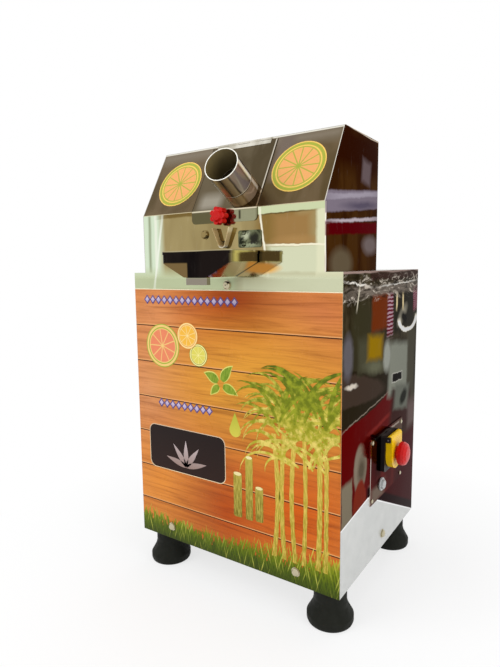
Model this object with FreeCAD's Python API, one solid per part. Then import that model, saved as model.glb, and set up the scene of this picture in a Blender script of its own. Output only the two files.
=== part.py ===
import FreeCAD, Part
import math
import os

# Sugarcane juicer with an electric drive, as an assembly of separate pieces.
# Millimetres, +X to the machine's right as seen from the front, +Y to the rear, +Z up.
# The pieces are worked out with z = 0 at the bottom of the cabinet and y = 0 at its front face.
# On export everything moves so that the origin is the middle of the footprint at floor level.

# ---------------------------------------------------------------- casing
SHEET = 1.2                    # stainless sheet of every casing panel
CABINET_WIDTH = 460.0
CABINET_DEPTH = 402.6
CABINET_HEIGHT = 553.4
HEAD_WIDTH = 399.0
HEAD_DEPTH = 226.4
HEAD_HEIGHT = 241.0            # from the cabinet's top to the head's top
KINK_RISE = 110.6              # from the cabinet's top to where the upright front turns into the hood
HOOD_SETBACK = 73.4            # how far the ridge lies behind the front face
FRONT_FOLD = 14.0              # side return of the front sheet
FRONT_FOLD_START = 22.0        # the return starts this far above the bottom
FRONT_FOLD_STOP = 30.0         # and stops this far below the top
BASE_LIP = 18.0                # upturned edge of the base pan
FRAME_LEG = 25.0               # angle section of the inner frame
FRAME_WALL = 3.0
PRINT_MARGIN = 31.9            # bare sheet above the printed skin
PRINT_THICKNESS = 0.4
VENT_LENGTH = 70.0
VENT_SPACING = 22.0            # between two columns of vent slots
VENT_BOTTOM = 250.0
VENT_PITCH = 16.0
VENT_SLOT = 6.0
VENT_ROWS = 5
GLAND_INSET = 80.0             # cable gland from the cabinet's side
GLAND_Z = 70.0
GLAND_THREAD = 8.0             # radius
GLAND_BORE = 5.0
GLAND_FLANGE = 4.0             # flange and nut beyond the thread
GLAND_INSIDE = 14.0
GLAND_NUT = 5.0
WASTE_HALF_WIDTH = 58.0        # opening in the head's rear for the pressed cane
WASTE_RISE = 94.6              # its lower edge above the cabinet's top
WASTE_HEIGHT = 64.0
CHUTE_LENGTH = 105.0           # waste chute behind the head
CHUTE_INSIDE = 20.0
CHUTE_DROP = 52.0
CHUTE_LIFT = 14.0              # chute's floor above the opening's lower edge
CHUTE_WALL_REAR = 16.0
CHUTE_WALL_FRONT = 30.0
CHUTE_TAB_BELOW = 12.0
CHUTE_TAB_ABOVE = 8.0
CHUTE_SIDE_GAP = 1.0

# ---------------------------------------------------------------- feet
FOOT_HEIGHT = 73.0
FOOT_NECK_RADIUS = 30.0
FOOT_FLARE_RADIUS = 42.5
FOOT_INSET_X = 37.0            # foot centre from the cabinet's side
FOOT_INSET_Y = 43.0            # foot centre from the cabinet's front or rear
FOOT_RECESS_RADIUS = 14.0
FOOT_WEB = 40.0                # rubber between the recess and the base pan
FOOT_TREAD_EDGE = 4.0          # how far the tread is smaller than the flare
FOOT_BOLT_RADIUS = 5.0
FOOT_BOLT_HEAD_RADIUS = 10.0
FOOT_BOLT_HEAD_HEIGHT = 7.0
FOOT_NUT_HEIGHT = 8.0
FOOT_NUT_RIM = 4.0             # nut beyond the bolt's radius
FOOT_BOLT_END = 6.0            # thread beyond the nut

# ---------------------------------------------------------------- feed door, hinge, tube and knob
DOOR_HALF_WIDTH = 72.0
DOOR_THICKNESS = 1.5
DOOR_GAP = 0.3                 # air between the door and the sheet under it
DOOR_FLAP_LENGTH = 22.5        # flap below the kink
DOOR_CORNER_RADIUS = 8.0
HOOD_OPENING_HALF_WIDTH = 64.0
HOOD_OPENING_START = 2.0       # along the slope from the kink
HOOD_OPENING_END = 128.0
HINGE_KNUCKLES = 5
HINGE_KNUCKLE_RADIUS = 2.0
HINGE_KNUCKLE_WIDTH = 24.0
HINGE_PIN_RADIUS = 1.0
HINGE_BELOW_RIDGE = 5.0        # pin below the ridge, along the slope
HINGE_AIR = 0.2                # knuckle above the sheet
HINGE_LEAF = 0.8
HINGE_LEAF_WIDTH = 8.0
HINGE_SIDE_GAP = 0.3
HINGE_DOOR_GAP = 0.5           # from the knuckle to the door's edge
HINGE_LEAF_STOP = 0.4          # fixed leaf's rear edge below the ridge

TUBE_RADIUS = 30.15            # two-inch-and-three-eighths tube
TUBE_WALL = 1.5
TUBE_LENGTH = 87.4             # from the hood's surface to the mouth, along the axis
TUBE_SINK = 40.0               # the tube is drawn this far through the door, then cut at its face
TUBE_X = 31.9                  # where the axis meets the hood
TUBE_UP_SLOPE = 33.1
TUBE_ELEVATION = 23.7          # degrees above level, pointing out of the machine
TUBE_YAW = 8.2                 # degrees to the machine's right

KNOB_RADIUS = 16.0
KNOB_LENGTH = 16.0
KNOB_STEM_LENGTH = 5.0
KNOB_STEM_RADIUS = 8.0
KNOB_LOBES = 7
KNOB_LOBE_SHARE = 0.3          # lobe's radius as a share of the knob's
KNOB_CHAMFER = 3.0
KNOB_FACE_GAP = 0.3            # air between the stem and the flap
KNOB_X = 0.0
KNOB_ABOVE_FLAP_EDGE = 11.0
STUD_RADIUS = 3.0
STUD_REACH = 6.0               # how far the stud stands behind the flap
STUD_IN_KNOB = 10.0
STUD_SLOT_SIDE = 1.5           # air beside the stud in its slot
STUD_SLOT_RISE = 6.0           # air above the stud, for the door's swing

# ---------------------------------------------------------------- rollers, plates and gears
ROLLER_DIAMETER = 66.0
ROLLER_HALF_LENGTH = 62.0
FLUTES = 36
FLUTE_DEPTH = 1.8
NIP = 4.0                      # gap between two rollers
NIP_REACH = 56.0               # from the hood's surface to the nip, along the feed axis
REAR_ROLLER_ANGLE = 50.0       # degrees from straight down, seen from the top roller
SHAFT_RADIUS = 12.0
SHAFT_FIT = 0.05               # radial running clearance of every shaft and pin
SHAFT_END = 3.0                # shaft beyond its last bearing
GEAR_SHAFT_END = 4.0           # shaft beyond gear or pulley
ROLLER_END_PLAY = 2.0
ROLLER_PLATE_THICKNESS = 8.0
ROLLER_PLATE_MARGIN = 8.0      # plate beyond the rollers at the front
ROLLER_PLATE_REAR = 6.0        # and at the rear
ROLLER_PLATE_CROWN = 12.0      # above the top bearing
ROLLER_PLATE_SHOULDER = 9.0    # behind the hood's sheet
ROLLER_PLATE_TOP = 30.0        # flat top behind the top roller's axis
ROLLER_PLATE_DROP = 20.0       # rear corner above the rear roller's axis
ROLLER_PLATE_FOOT = 8.0
ROLLER_PLATE_FOOT_INSET = 6.0
BEARING_FLANGE_RADIUS = 25.0
BEARING_FLANGE_THICKNESS = 10.0
BEARING_FLANGE_EDGE = 5.0
BEARING_SPIGOT_RADIUS = 18.0
TIE_BAR_RADIUS = 7.0
TIE_END_RADIUS = 5.0
TIE_END_LENGTH = 6.0           # beyond the plate
TIE_BAR_RISE = 22.0            # lower bars above the deck, upper bar above the top roller's axis
TIE_BAR_REAR_INSET = 8.0
TIE_BAR_BEHIND_TOP = 40.0
GEAR_TEETH = 20
GEAR_WIDTH = 18.0
GEAR_GAP = 5.0                 # from bearing to gear
GEAR_BACKLASH = 0.35
PRESSURE_ANGLE = 20.0
SCRAPER_GAP = 1.0
SCRAPER_LENGTH = 12.0
SCRAPER_THICKNESS = 2.5
SCRAPER_ANGLES = (205.0, -35.0)    # where the blades sit on the front and the rear roller, degrees
SCRAPER_LEAN = 34.0            # degrees between a blade and the roller's radius
DUCT_MARGIN = 1.0              # feed duct round the tube's bore, and before the rollers
DUCT_LEFT_MARGIN = 4.0

# ---------------------------------------------------------------- belt drive and motor
PULLEY_WIDTH = 24.0
PULLEY_GAP = 6.0               # from bearing to pulley
ROLLER_PULLEY_RADIUS = 80.0
OUTPUT_PULLEY_RADIUS = 40.0
PULLEY_HUB_RADIUS = 20.0
PULLEY_RIM = 6.0               # under the groove
PULLEY_WEB = 10.0
PULLEY_LEAST_RECESS = 12.0     # a pulley with less between hub and rim stays solid
GROOVE_TOP_WIDTH = 16.0
GROOVE_BOTTOM_WIDTH = 9.0
GROOVE_DEPTH = 12.0
BELT_THICKNESS = 8.0
BELT_BELOW_RIM = 1.0
BELT_SIDE_GAP = 0.3            # air between the belt's flank and the groove
BELT_EDGE = 1.0                # flat edge of the belt's back before its flank leans in
BELT_SLOT_MARGIN = 6.0         # slot in the deck beside the pulley
BELT_SLOT_FRONT = 80.0         # slot's front end before the output shaft
BELT_SLOT_REAR = 8.0           # slot's rear end before the head's rear sheet
OUTPUT_SHAFT_Y = 150.0
OUTPUT_SHAFT_DROP = 153.4      # output shaft below the cabinet's top
OUTPUT_SHAFT_IN_BOX = 20.0
GEARBOX_HALF_DEPTH = 55.0
GEARBOX_HALF_HEIGHT = 58.0
GEARBOX_LENGTH = 80.0
GEARBOX_X1 = 78.0
GEARBOX_ROUNDING = 14.0
GEARBOX_TOP_CUT = 6.0
GEARBOX_LIFT = 12.0            # case above the shelf
GEARBOX_BOSS_RADIUS = 26.0
GEARBOX_BOSS_LENGTH = 4.0
GEARBOX_SEAT_DEPTH = 22.0
GEARBOX_FOOT_INSET = 6.0
GEARBOX_FOOT_HALF = 12.0
GEARBOX_FOOT_HEIGHT = 30.0
GEARBOX_FOOT_OVERLAP = 4.0
MOTOR_RADIUS = 60.0
MOTOR_LENGTH = 140.0
MOTOR_FLANGE_THICKNESS = 10.0
MOTOR_FLANGE_CUT = 8.0         # flange smaller than the fins' circle
MOTOR_BARREL_CUT = 8.0         # barrel below the fins' circle
MOTOR_FIN_CUT = 4.0
MOTOR_FIN_HALF_THICKNESS = 2.0
MOTOR_FIN_INSET = 6.0
MOTOR_FINS = 12
TERMINAL_PAD_START = 40.0
TERMINAL_PAD_LENGTH = 60.0
TERMINAL_PAD_HALF = 24.0
TERMINAL_PAD_HEIGHT = 14.0
TERMINAL_LENGTH = 72.0
TERMINAL_HALF_DEPTH = 32.0
TERMINAL_HEIGHT = 34.0
TERMINAL_ROUNDING = 8.0
TERMINAL_LID_RIM = 2.0
TERMINAL_LID_BELOW = 6.0
TERMINAL_LID_THICKNESS = 3.0
COWL_LENGTH = 38.0
COWL_WALL = 1.5
COWL_OVERLAP = 10.0            # cowl over the end of the barrel
COWL_AIR = 1.9                 # cowl's skirt is this much thicker than its end wall
COWL_ROUNDING = 10.0
COWL_SLOT_PITCH = 14.0
COWL_SLOT_HALF = 3.0
COWL_SLOT_REACH = 22.0
COWL_SLOTS = 5
SHELF_THICKNESS = 5.0
SHELF_MARGIN = 20.0            # shelf beyond the gearbox
SHELF_RIB = 17.0
SHELF_RIB_THICKNESS = 3.0

# ---------------------------------------------------------------- spout, pan and tray
SPOUT_X = 1.5
SPOUT_HALF_WIDTH = 19.5        # at the top; the sides lean in to the round floor
SPOUT_FLOOR_RADIUS = 8.0
SPOUT_HEIGHT = 37.0
SPOUT_RISE = 43.6              # floor above the cabinet's top, where it leaves the front sheet
SPOUT_REACH = 10.0             # floor's lip before the front sheet
SPOUT_LEAN = 3.0               # the lip's top stands further forward than its floor
SPOUT_DROP = 1.0               # fall of the floor from the sheet to the lip
SPOUT_TAIL = 9.0               # behind the front sheet's face
SPOUT_TAIL_LIP = 2.0           # the tail stays this much lower than the pan's wall
SPOUT_THICKNESS = 1.5
SPOUT_FIT = 0.3                # air round the spout in its slot
PAN_FALL = 11.0                # fall of the juice pan from rear to front
PAN_WALL = 14.0
PAN_STEP = 0.3                 # pan's floor above the spout's floor
PAN_REAR_MARGIN = 34.0         # from the pan to the head's rear
PAN_SIDE_GAP = 0.5

TRAY_BELOW_SPOUT = 6.0         # tray's rim below the spout's floor
TRAY_HALF_WIDTH = 74.0
TRAY_REACH = 84.0
TRAY_BAND = 19.4               # upright band under the rim
TRAY_DEPTH = 45.0              # from the rim to the floor
TRAY_FLOOR_HALF_WIDTH = 24.0
TRAY_COLLAR_HALF_WIDTH = 22.5
TRAY_COLLAR_LENGTH = 12.5      # outlet collar below the floor
TRAY_COLLAR_DEPTH = 17.0       # from the tray's front to the rear
TRAY_COLLAR_ROOT = 2.0         # how far the collar reaches up into the floor
TRAY_SHEET = 1.2
TRAY_CORNER = 6.0
TRAY_REAR_GAP = 1.0            # from the front sheet to the tray's rear wall
TRAY_HEM = 1.2                 # how far the folded rim stands out
TRAY_HEM_HEIGHT = 6.0
TRAY_PIN_RADIUS = 3.0
TRAY_PIN_X = 50.0
TRAY_PIN_BELOW_RIM = 9.0
TRAY_PIN_REACH = 22.0
TRAY_PIN_POINT = 0.6           # chamfer of the pin's end
TRAY_PIN_HEAD = 3.0            # head beyond the pin's radius
TRAY_PIN_HEAD_THICKNESS = 4.0
TRAY_BUSH_WALL = 1.5
STRAINER_BELOW_BAND = 6.0
STRAINER_THICKNESS = 1.0
STRAINER_SLOT = 3.0
STRAINER_PITCH = 9.0
STRAINER_RIM = 8.0
STRAINER_END_GAP = 0.5
STRAINER_SIDE_GAP = 0.1

# ---------------------------------------------------------------- controls on the right side
PLATE_Y = 130.0                # control plate's front edge
PLATE_Z = 113.0                # and its lower edge
PLATE_LENGTH = 182.0
PLATE_HEIGHT = 131.0
PLATE_THICKNESS = 1.5
PLATE_CORNER = 5.0
PLATE_OVERLAP = 12.0           # control plate beyond its cut-out
PLATE_SCREW_INSET = 9.0
SWITCH_FROM_FRONT = 88.0       # switch's middle from the plate's front edge
SWITCH_FROM_BELOW = 84.0       # and from its lower edge
SWITCH_HALF_WIDTH = 35.0
SWITCH_ABOVE = 39.0            # case above and below the switch's middle
SWITCH_BELOW = 33.0
SWITCH_BASE_HEIGHT = 8.0
SWITCH_ROUNDING = 6.0
SWITCH_BODY_DEPTH = 24.0       # behind the control plate
SWITCH_BODY_MARGIN = 8.0       # the body is this much smaller than the rim
SWITCH_EAR = 5.0
SWITCH_EAR_FRONT = 4.0
SWITCH_WELL_DEPTH = 5.0
SWITCH_WELL_RIM = 2.0
SWITCH_SEAT_DEPTH = 10.0
COVER_THICKNESS = 12.0
COVER_GAP = 0.4
COVER_ROUND_MARGIN = 7.0       # round lower end beyond the mushroom
COVER_WALL = 3.0
COVER_FACE = 4.0
COVER_OVERLAP = 4.0            # block's lower edge above the switch's middle
COVER_PIN_RADIUS = 1.5
MUSHROOM_RADIUS = 23.0
MUSHROOM_HEIGHT = 18.0
MUSHROOM_TRAVEL = 5.0
MUSHROOM_STEM_RADIUS = 12.0
MUSHROOM_EDGE = 2.0
MUSHROOM_AIR = 0.5
STEM_CLEARANCE = 0.6           # from the pressed stem to the cover's back
START_RADIUS = 7.0
START_TRAVEL = 3.0
START_CLEARANCE = 0.5
RESET_FROM_FRONT = 60.0
RESET_FROM_BELOW = 25.0
RESET_RADIUS = 9.0
RESET_COLLAR_RADIUS = 13.0
RESET_COLLAR_HEIGHT = 3.0
RESET_COLLAR_EDGE = 1.0
RESET_BARREL_WALL = 2.2
RESET_BARREL_LENGTH = 14.0
RESET_INSIDE = 8.0
RESET_PROUD = 1.0
RESET_EDGE = 1.2
RESET_TRAVEL = 3.0

# ---------------------------------------------------------------- bolts and screws
BOLT_RADIUS = 7.2
BOLT_HEAD_HEIGHT = 4.5
BOLT_WASHER_RADIUS = 8.6
BOLT_WASHER_THICKNESS = 1.2
BOLT_SHANK_RADIUS = 3.5
BOLT_SHANK_LENGTH = 10.0
BOLT_HOLE_CLEARANCE = 0.2
BOLT_ABOVE_PRINT = 0.3
SCREW_SHANK = 2.0
SCREW_LENGTH = 6.0
SCREW_HEAD_RADIUS = 4.0
SCREW_RIM = 1.2
SCREW_HEAD_HEIGHT = 2.8
LEFT_BOLT_INSET = 83.0         # bolts low on the front, from the cabinet's sides
LEFT_BOLT_Z = 27.0
RIGHT_BOLT_INSET = 84.0
RIGHT_BOLT_Z = 24.0
TOP_BOLT_X = 5.0
HEAD_BOLT_X = -43.0
HEAD_BOLT_RISE = 68.6          # above the cabinet's top
SIDE_BOLT_Y = 205.0
SIDE_BOLT_Z = 28.0
ACCESS_PLATE_X = 32.0
ACCESS_PLATE_WIDTH = 48.0
ACCESS_PLATE_RISE = 42.6       # above the cabinet's top
ACCESS_PLATE_HEIGHT = 30.0
ACCESS_PLATE_THICKNESS = 1.5
ACCESS_PLATE_CORNER = 4.0
ACCESS_SCREW_INSET = 12.0
ACCESS_SCREW_BELOW = 6.0       # lower screw above the plate's lower edge
ACCESS_SCREW_ABOVE = 4.0       # upper screw below its upper edge

CUT_REACH = 6.0                # how far a cutting tool passes beyond a sheet
FAR = 1000.0                   # beyond every piece
TOUCH = 0.01                   # two edges closer than this are the same

# ---------------------------------------------------------------- values worked out from them
HALF_WIDTH = CABINET_WIDTH / 2
HEAD_HALF = HEAD_WIDTH / 2
HEAD_TOP = CABINET_HEIGHT + HEAD_HEIGHT
KINK_HEIGHT = CABINET_HEIGHT + KINK_RISE
PRINT_TOP = CABINET_HEIGHT - PRINT_MARGIN
DOOR_FLAP_BOTTOM = KINK_HEIGHT - DOOR_FLAP_LENGTH
KNOB_HEIGHT = DOOR_FLAP_BOTTOM + KNOB_ABOVE_FLAP_EDGE
SPOUT_BOTTOM = CABINET_HEIGHT + SPOUT_RISE
SPOUT_GATE_TOP = SPOUT_BOTTOM + PAN_WALL - SPOUT_TAIL_LIP   # top of the spout's part behind the sheet
TRAY_TOP = SPOUT_BOTTOM - TRAY_BELOW_SPOUT
TRAY_BAND_BOTTOM = TRAY_TOP - TRAY_BAND
TRAY_FLOOR = TRAY_TOP - TRAY_DEPTH
TRAY_COLLAR_BOTTOM = TRAY_FLOOR - TRAY_COLLAR_LENGTH
TRAY_PIN_Z = TRAY_TOP - TRAY_PIN_BELOW_RIM
TRAY_REAR = -TRAY_REAR_GAP
TRAY_FRONT = -TRAY_REACH
WASTE_BOTTOM = CABINET_HEIGHT + WASTE_RISE
WASTE_TOP = WASTE_BOTTOM + WASTE_HEIGHT
OUTPUT_SHAFT_Z = CABINET_HEIGHT - OUTPUT_SHAFT_DROP
SHELF_TOP = OUTPUT_SHAFT_Z - GEARBOX_HALF_HEIGHT
GEARBOX_X0 = GEARBOX_X1 - GEARBOX_LENGTH
MOTOR_X0 = GEARBOX_X0 - MOTOR_LENGTH
SLOPE_LENGTH = math.hypot(HOOD_SETBACK, HEAD_TOP - KINK_HEIGHT)
SLOPE_Y = HOOD_SETBACK / SLOPE_LENGTH
SLOPE_Z = (HEAD_TOP - KINK_HEIGHT) / SLOPE_LENGTH
HINGE_UP_SLOPE = SLOPE_LENGTH - HINGE_BELOW_RIDGE
HINGE_OUT = HINGE_KNUCKLE_RADIUS + HINGE_AIR
HINGE_HALF_WIDTH = HINGE_KNUCKLES * HINGE_KNUCKLE_WIDTH / 2
DOOR_FACE = DOOR_GAP + DOOR_THICKNESS
DOOR_END = HINGE_UP_SLOPE - HINGE_KNUCKLE_RADIUS - HINGE_DOOR_GAP
PLATE_INNER_X = ROLLER_HALF_LENGTH + ROLLER_END_PLAY
PLATE_OUTER_X = PLATE_INNER_X + ROLLER_PLATE_THICKNESS
BEARING_OUTER_X = PLATE_OUTER_X + BEARING_FLANGE_THICKNESS
CENTRE_DISTANCE = ROLLER_DIAMETER + NIP
GEAR_MODULE = CENTRE_DISTANCE / GEAR_TEETH
GEAR_X0 = -(BEARING_OUTER_X + GEAR_GAP + GEAR_WIDTH)
PULLEY_X0 = BEARING_OUTER_X + PULLEY_GAP
PLATE_FACE = HALF_WIDTH + PLATE_THICKNESS
SWITCH_Y = PLATE_Y + SWITCH_FROM_FRONT
SWITCH_Z = PLATE_Z + SWITCH_FROM_BELOW
SWITCH_TOP = SWITCH_Z + SWITCH_ABOVE
SWITCH_BOTTOM = SWITCH_Z - SWITCH_BELOW
COVER_BACK = PLATE_FACE + SWITCH_BASE_HEIGHT + COVER_GAP
COVER_PIN_X = COVER_BACK + COVER_THICKNESS / 2
COVER_PIN_Z = SWITCH_TOP - COVER_THICKNESS / 2
RESET_Y = PLATE_Y + RESET_FROM_FRONT
RESET_Z = PLATE_Z + RESET_FROM_BELOW
ACCESS_PLATE_Z = CABINET_HEIGHT + ACCESS_PLATE_RISE
GLAND_X = HALF_WIDTH - GLAND_INSET
LEFT_BOLT = (-HALF_WIDTH + LEFT_BOLT_INSET, LEFT_BOLT_Z)
RIGHT_BOLT = (HALF_WIDTH - RIGHT_BOLT_INSET, RIGHT_BOLT_Z)
TOP_BOLT = (TOP_BOLT_X, PRINT_TOP + BOLT_WASHER_RADIUS + BOLT_ABOVE_PRINT)
HEAD_BOLT = (HEAD_BOLT_X, CABINET_HEIGHT + HEAD_BOLT_RISE)
FOOT_CENTRES = [(side * (HALF_WIDTH - FOOT_INSET_X), y) for side in (-1, 1)
                for y in (FOOT_INSET_Y, CABINET_DEPTH - FOOT_INSET_Y)]


def slope_point(along, out):
    """(y, z) of a point on the hood: along the slope from the kink, and outward from its face."""
    return (SLOPE_Y * along - SLOPE_Z * out, KINK_HEIGHT + SLOPE_Z * along + SLOPE_Y * out)


def feed_direction():
    """Unit vector out of the machine along the feed tube."""
    level = math.cos(math.radians(TUBE_ELEVATION))
    yaw = math.radians(TUBE_YAW)
    return FreeCAD.Vector(level * math.sin(yaw), -level * math.cos(yaw),
                          math.sin(math.radians(TUBE_ELEVATION)))


FEED_Y, FEED_Z = slope_point(TUBE_UP_SLOPE, 0)
FEED_IN_Y = math.cos(math.radians(TUBE_ELEVATION))      # feed axis seen from the side, inward
FEED_IN_Z = -math.sin(math.radians(TUBE_ELEVATION))
NIP_Y = FEED_Y + FEED_IN_Y * NIP_REACH
NIP_Z = FEED_Z + FEED_IN_Z * NIP_REACH
TOP_ROLLER = (NIP_Y - FEED_IN_Z * CENTRE_DISTANCE / 2, NIP_Z + FEED_IN_Y * CENTRE_DISTANCE / 2)
FRONT_ROLLER = (NIP_Y + FEED_IN_Z * CENTRE_DISTANCE / 2, NIP_Z - FEED_IN_Y * CENTRE_DISTANCE / 2)
REAR_ROLLER = (TOP_ROLLER[0] + CENTRE_DISTANCE * math.sin(math.radians(REAR_ROLLER_ANGLE)),
               TOP_ROLLER[1] - CENTRE_DISTANCE * math.cos(math.radians(REAR_ROLLER_ANGLE)))
ROLLERS = (TOP_ROLLER, FRONT_ROLLER, REAR_ROLLER)


# ---------------------------------------------------------------- shape helpers
def vec(x, y, z):
    return FreeCAD.Vector(x, y, z)


def block(x0, x1, y0, y1, z0, z1):
    return Part.makeBox(x1 - x0, y1 - y0, z1 - z0, vec(x0, y0, z0))


def rod(start, direction, radius, length):
    return Part.makeCylinder(radius, length, start, direction)


def bore(point, direction, radius, reach=CUT_REACH):
    """Cutting rod that passes through point by reach on both sides."""
    return rod(point - direction * reach, direction, radius, 2 * reach)


def face_of(points):
    return Part.Face(Part.makePolygon(list(points) + [points[0]]))


def along_x(outline, x0, x1):
    """Extrude a (y, z) outline between two x positions."""
    return face_of([vec(x0, y, z) for y, z in outline]).extrude(vec(x1 - x0, 0, 0))


def along_y(outline, y0, y1):
    """Extrude an (x, z) outline between two y positions."""
    return face_of([vec(x, y0, z) for x, z in outline]).extrude(vec(0, y1 - y0, 0))


def turned(profile, start, direction):
    """Revolve a (radius, height) outline about the axis from start along direction."""
    section = face_of([vec(radius, 0, height) for radius, height in profile])
    solid = section.revolve(vec(0, 0, 0), vec(0, 0, 1), 360)
    solid.Placement = FreeCAD.Placement(start, FreeCAD.Rotation(vec(0, 0, 1), direction))
    return solid


def edges_along(shape, direction, keep):
    """Straight edges parallel to direction whose middle passes the test keep(point)."""
    found = []
    for edge in shape.Edges:
        if len(edge.Vertexes) != 2:
            continue
        run = edge.Vertexes[1].Point - edge.Vertexes[0].Point
        middle = (edge.Vertexes[1].Point + edge.Vertexes[0].Point) * 0.5
        straight = run.Length > TOUCH and abs(run.Length - edge.Length) < TOUCH
        if straight and run.cross(direction).Length < TOUCH and keep(middle):
            found.append(edge)
    return found


def rounded(shape, direction, radius, keep=lambda point: True):
    return shape.makeFillet(radius, edges_along(shape, direction, keep))


def joined(pieces):
    return pieces[0].fuse(pieces[1:]).removeSplitter()


def outline_inset(points, inset):
    """Move each side of a convex outline inward by inset; the points run either way round."""
    count = len(points)
    area = sum(points[i][0] * points[(i + 1) % count][1] - points[(i + 1) % count][0] * points[i][1]
               for i in range(count))
    turn = 1 if area > 0 else -1
    moved = []
    for i in range(count):
        normals = []
        for a, b in ((points[i - 1], points[i]), (points[i], points[(i + 1) % count])):
            run = math.hypot(b[0] - a[0], b[1] - a[1])
            normals.append((-(b[1] - a[1]) / run * turn, (b[0] - a[0]) / run * turn))
        (ax, ay), (bx, by) = normals
        share = inset / (1 + ax * bx + ay * by)
        moved.append((points[i][0] + share * (ax + bx), points[i][1] + share * (ay + by)))
    return moved


def cap_bolt(point, direction):
    """Domed bolt with its washer, seated on a face at point; direction points out of the face."""
    washer = BOLT_WASHER_THICKNESS
    profile = [(0, -BOLT_SHANK_LENGTH), (BOLT_SHANK_RADIUS, -BOLT_SHANK_LENGTH), (BOLT_SHANK_RADIUS, 0),
               (BOLT_WASHER_RADIUS, 0), (BOLT_WASHER_RADIUS, washer), (BOLT_RADIUS, washer),
               (BOLT_RADIUS, washer + 0.4 * BOLT_HEAD_HEIGHT),
               (0.75 * BOLT_RADIUS, washer + 0.85 * BOLT_HEAD_HEIGHT),
               (0, washer + BOLT_HEAD_HEIGHT)]
    return turned(profile, point, direction)


def bolt_hole(point, direction):
    """Clearance hole for a cap bolt's shank behind point."""
    return bore(point, direction, BOLT_SHANK_RADIUS + BOLT_HOLE_CLEARANCE, BOLT_SHANK_LENGTH + CUT_REACH)


def pan_screw(point, direction):
    """Small domed screw, seated on a face at point."""
    profile = [(0, -SCREW_LENGTH), (SCREW_SHANK, -SCREW_LENGTH), (SCREW_SHANK, 0), (SCREW_HEAD_RADIUS, 0),
               (SCREW_HEAD_RADIUS, SCREW_RIM), (0.65 * SCREW_HEAD_RADIUS, 0.86 * SCREW_HEAD_HEIGHT),
               (0, SCREW_HEAD_HEIGHT)]
    return turned(profile, point, direction)


def screw_hole(point, direction):
    return bore(point, direction, SCREW_SHANK + BOLT_HOLE_CLEARANCE)


RIGHTWARD = vec(1, 0, 0)
FORWARD = vec(0, -1, 0)
REARWARD = vec(0, 1, 0)
UPWARD = vec(0, 0, 1)


def span(side, near, far):
    """The two x positions, in rising order, that lie near and far from the mid-plane on one side."""
    return sorted((side * near, side * far))


# ---------------------------------------------------------------- lower cabinet
def base_pan():
    """Floor sheet with an upturned lip all round, drilled for the foot bolts."""
    inner = 2 * SHEET
    pan = block(-HALF_WIDTH + SHEET, HALF_WIDTH - SHEET, SHEET, CABINET_DEPTH - SHEET, 0, BASE_LIP)
    pan = pan.cut(block(-HALF_WIDTH + inner, HALF_WIDTH - inner, inner, CABINET_DEPTH - inner,
                        SHEET, BASE_LIP + CUT_REACH))
    for x, y in FOOT_CENTRES:
        pan = pan.cut(bore(vec(x, y, 0), UPWARD, FOOT_BOLT_RADIUS + BOLT_HOLE_CLEARANCE))
    return pan


def corner_post(x, y, inward_x, inward_y, top):
    """Upright angle section with its corner at (x, y)."""
    flat = block(*sorted((x, x + inward_x * FRAME_LEG)), *sorted((y, y + inward_y * FRAME_WALL)), SHEET, top)
    edge = block(*sorted((x, x + inward_x * FRAME_WALL)), *sorted((y, y + inward_y * FRAME_LEG)), SHEET, top)
    return flat.fuse(edge)


def inner_frame():
    """Welded angle frame: four posts, rails at shelf height and under the deck, and the motor's shelf."""
    x1 = HALF_WIDTH - 2 * SHEET
    y0 = 2 * SHEET
    y1 = CABINET_DEPTH - 2 * SHEET
    top = CABINET_HEIGHT - SHEET
    pieces = [corner_post(side * x1, y, -side, inward, top) for side in (-1, 1)
              for y, inward in ((y0, 1), (y1, -1))]
    for level in (SHELF_TOP - SHELF_THICKNESS, top):
        for side in (-1, 1):
            pieces.append(block(*span(side, x1, x1 - FRAME_WALL), y0, y1, level - FRAME_LEG, level))
            pieces.append(block(*span(side, x1, x1 - FRAME_LEG), y0, y1, level - FRAME_WALL, level))
        for y, inward in ((y0, 1), (y1, -1)):
            pieces.append(block(-x1, x1, *sorted((y, y + inward * FRAME_WALL)), level - FRAME_LEG, level))
    frame = joined(pieces + [motor_shelf()])
    return frame.cut(bolt_hole(vec(TOP_BOLT[0], 0, TOP_BOLT[1]), FORWARD))


def motor_shelf():
    """Ribbed shelf across the frame's rails, under the geared motor."""
    x1 = HALF_WIDTH - 2 * SHEET - FRAME_WALL
    y0 = OUTPUT_SHAFT_Y - GEARBOX_HALF_DEPTH - SHELF_MARGIN
    y1 = OUTPUT_SHAFT_Y + GEARBOX_HALF_DEPTH + SHELF_MARGIN
    plate = block(-x1, x1, y0, y1, SHELF_TOP - SHELF_THICKNESS, SHELF_TOP)
    ribs = [block(-x1 + FRAME_LEG, x1 - FRAME_LEG, y, y + SHELF_RIB_THICKNESS,
                  SHELF_TOP - SHELF_THICKNESS - SHELF_RIB, SHELF_TOP - SHELF_THICKNESS)
            for y in (y0, y1 - SHELF_RIB_THICKNESS)]
    return joined([plate] + ribs)


def front_panel():
    """Lower front sheet with folded side returns."""
    sheet = block(-HALF_WIDTH, HALF_WIDTH, 0, SHEET, 0, CABINET_HEIGHT)
    returns = [block(*span(side, HALF_WIDTH - SHEET, HALF_WIDTH - 2 * SHEET), SHEET, FRONT_FOLD,
                     FRONT_FOLD_START, CABINET_HEIGHT - FRONT_FOLD_STOP) for side in (-1, 1)]
    panel = joined([sheet] + returns)
    for x, z in (LEFT_BOLT, RIGHT_BOLT, TOP_BOLT):
        panel = panel.cut(bolt_hole(vec(x, 0, z), FORWARD))
    return panel


def front_print():
    """Printed skin laid on the lower front sheet."""
    skin = block(-HALF_WIDTH, HALF_WIDTH, -PRINT_THICKNESS, 0, 0, PRINT_TOP)
    for x, z in (LEFT_BOLT, RIGHT_BOLT):
        skin = skin.cut(bolt_hole(vec(x, 0, z), FORWARD))
    return skin


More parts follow.
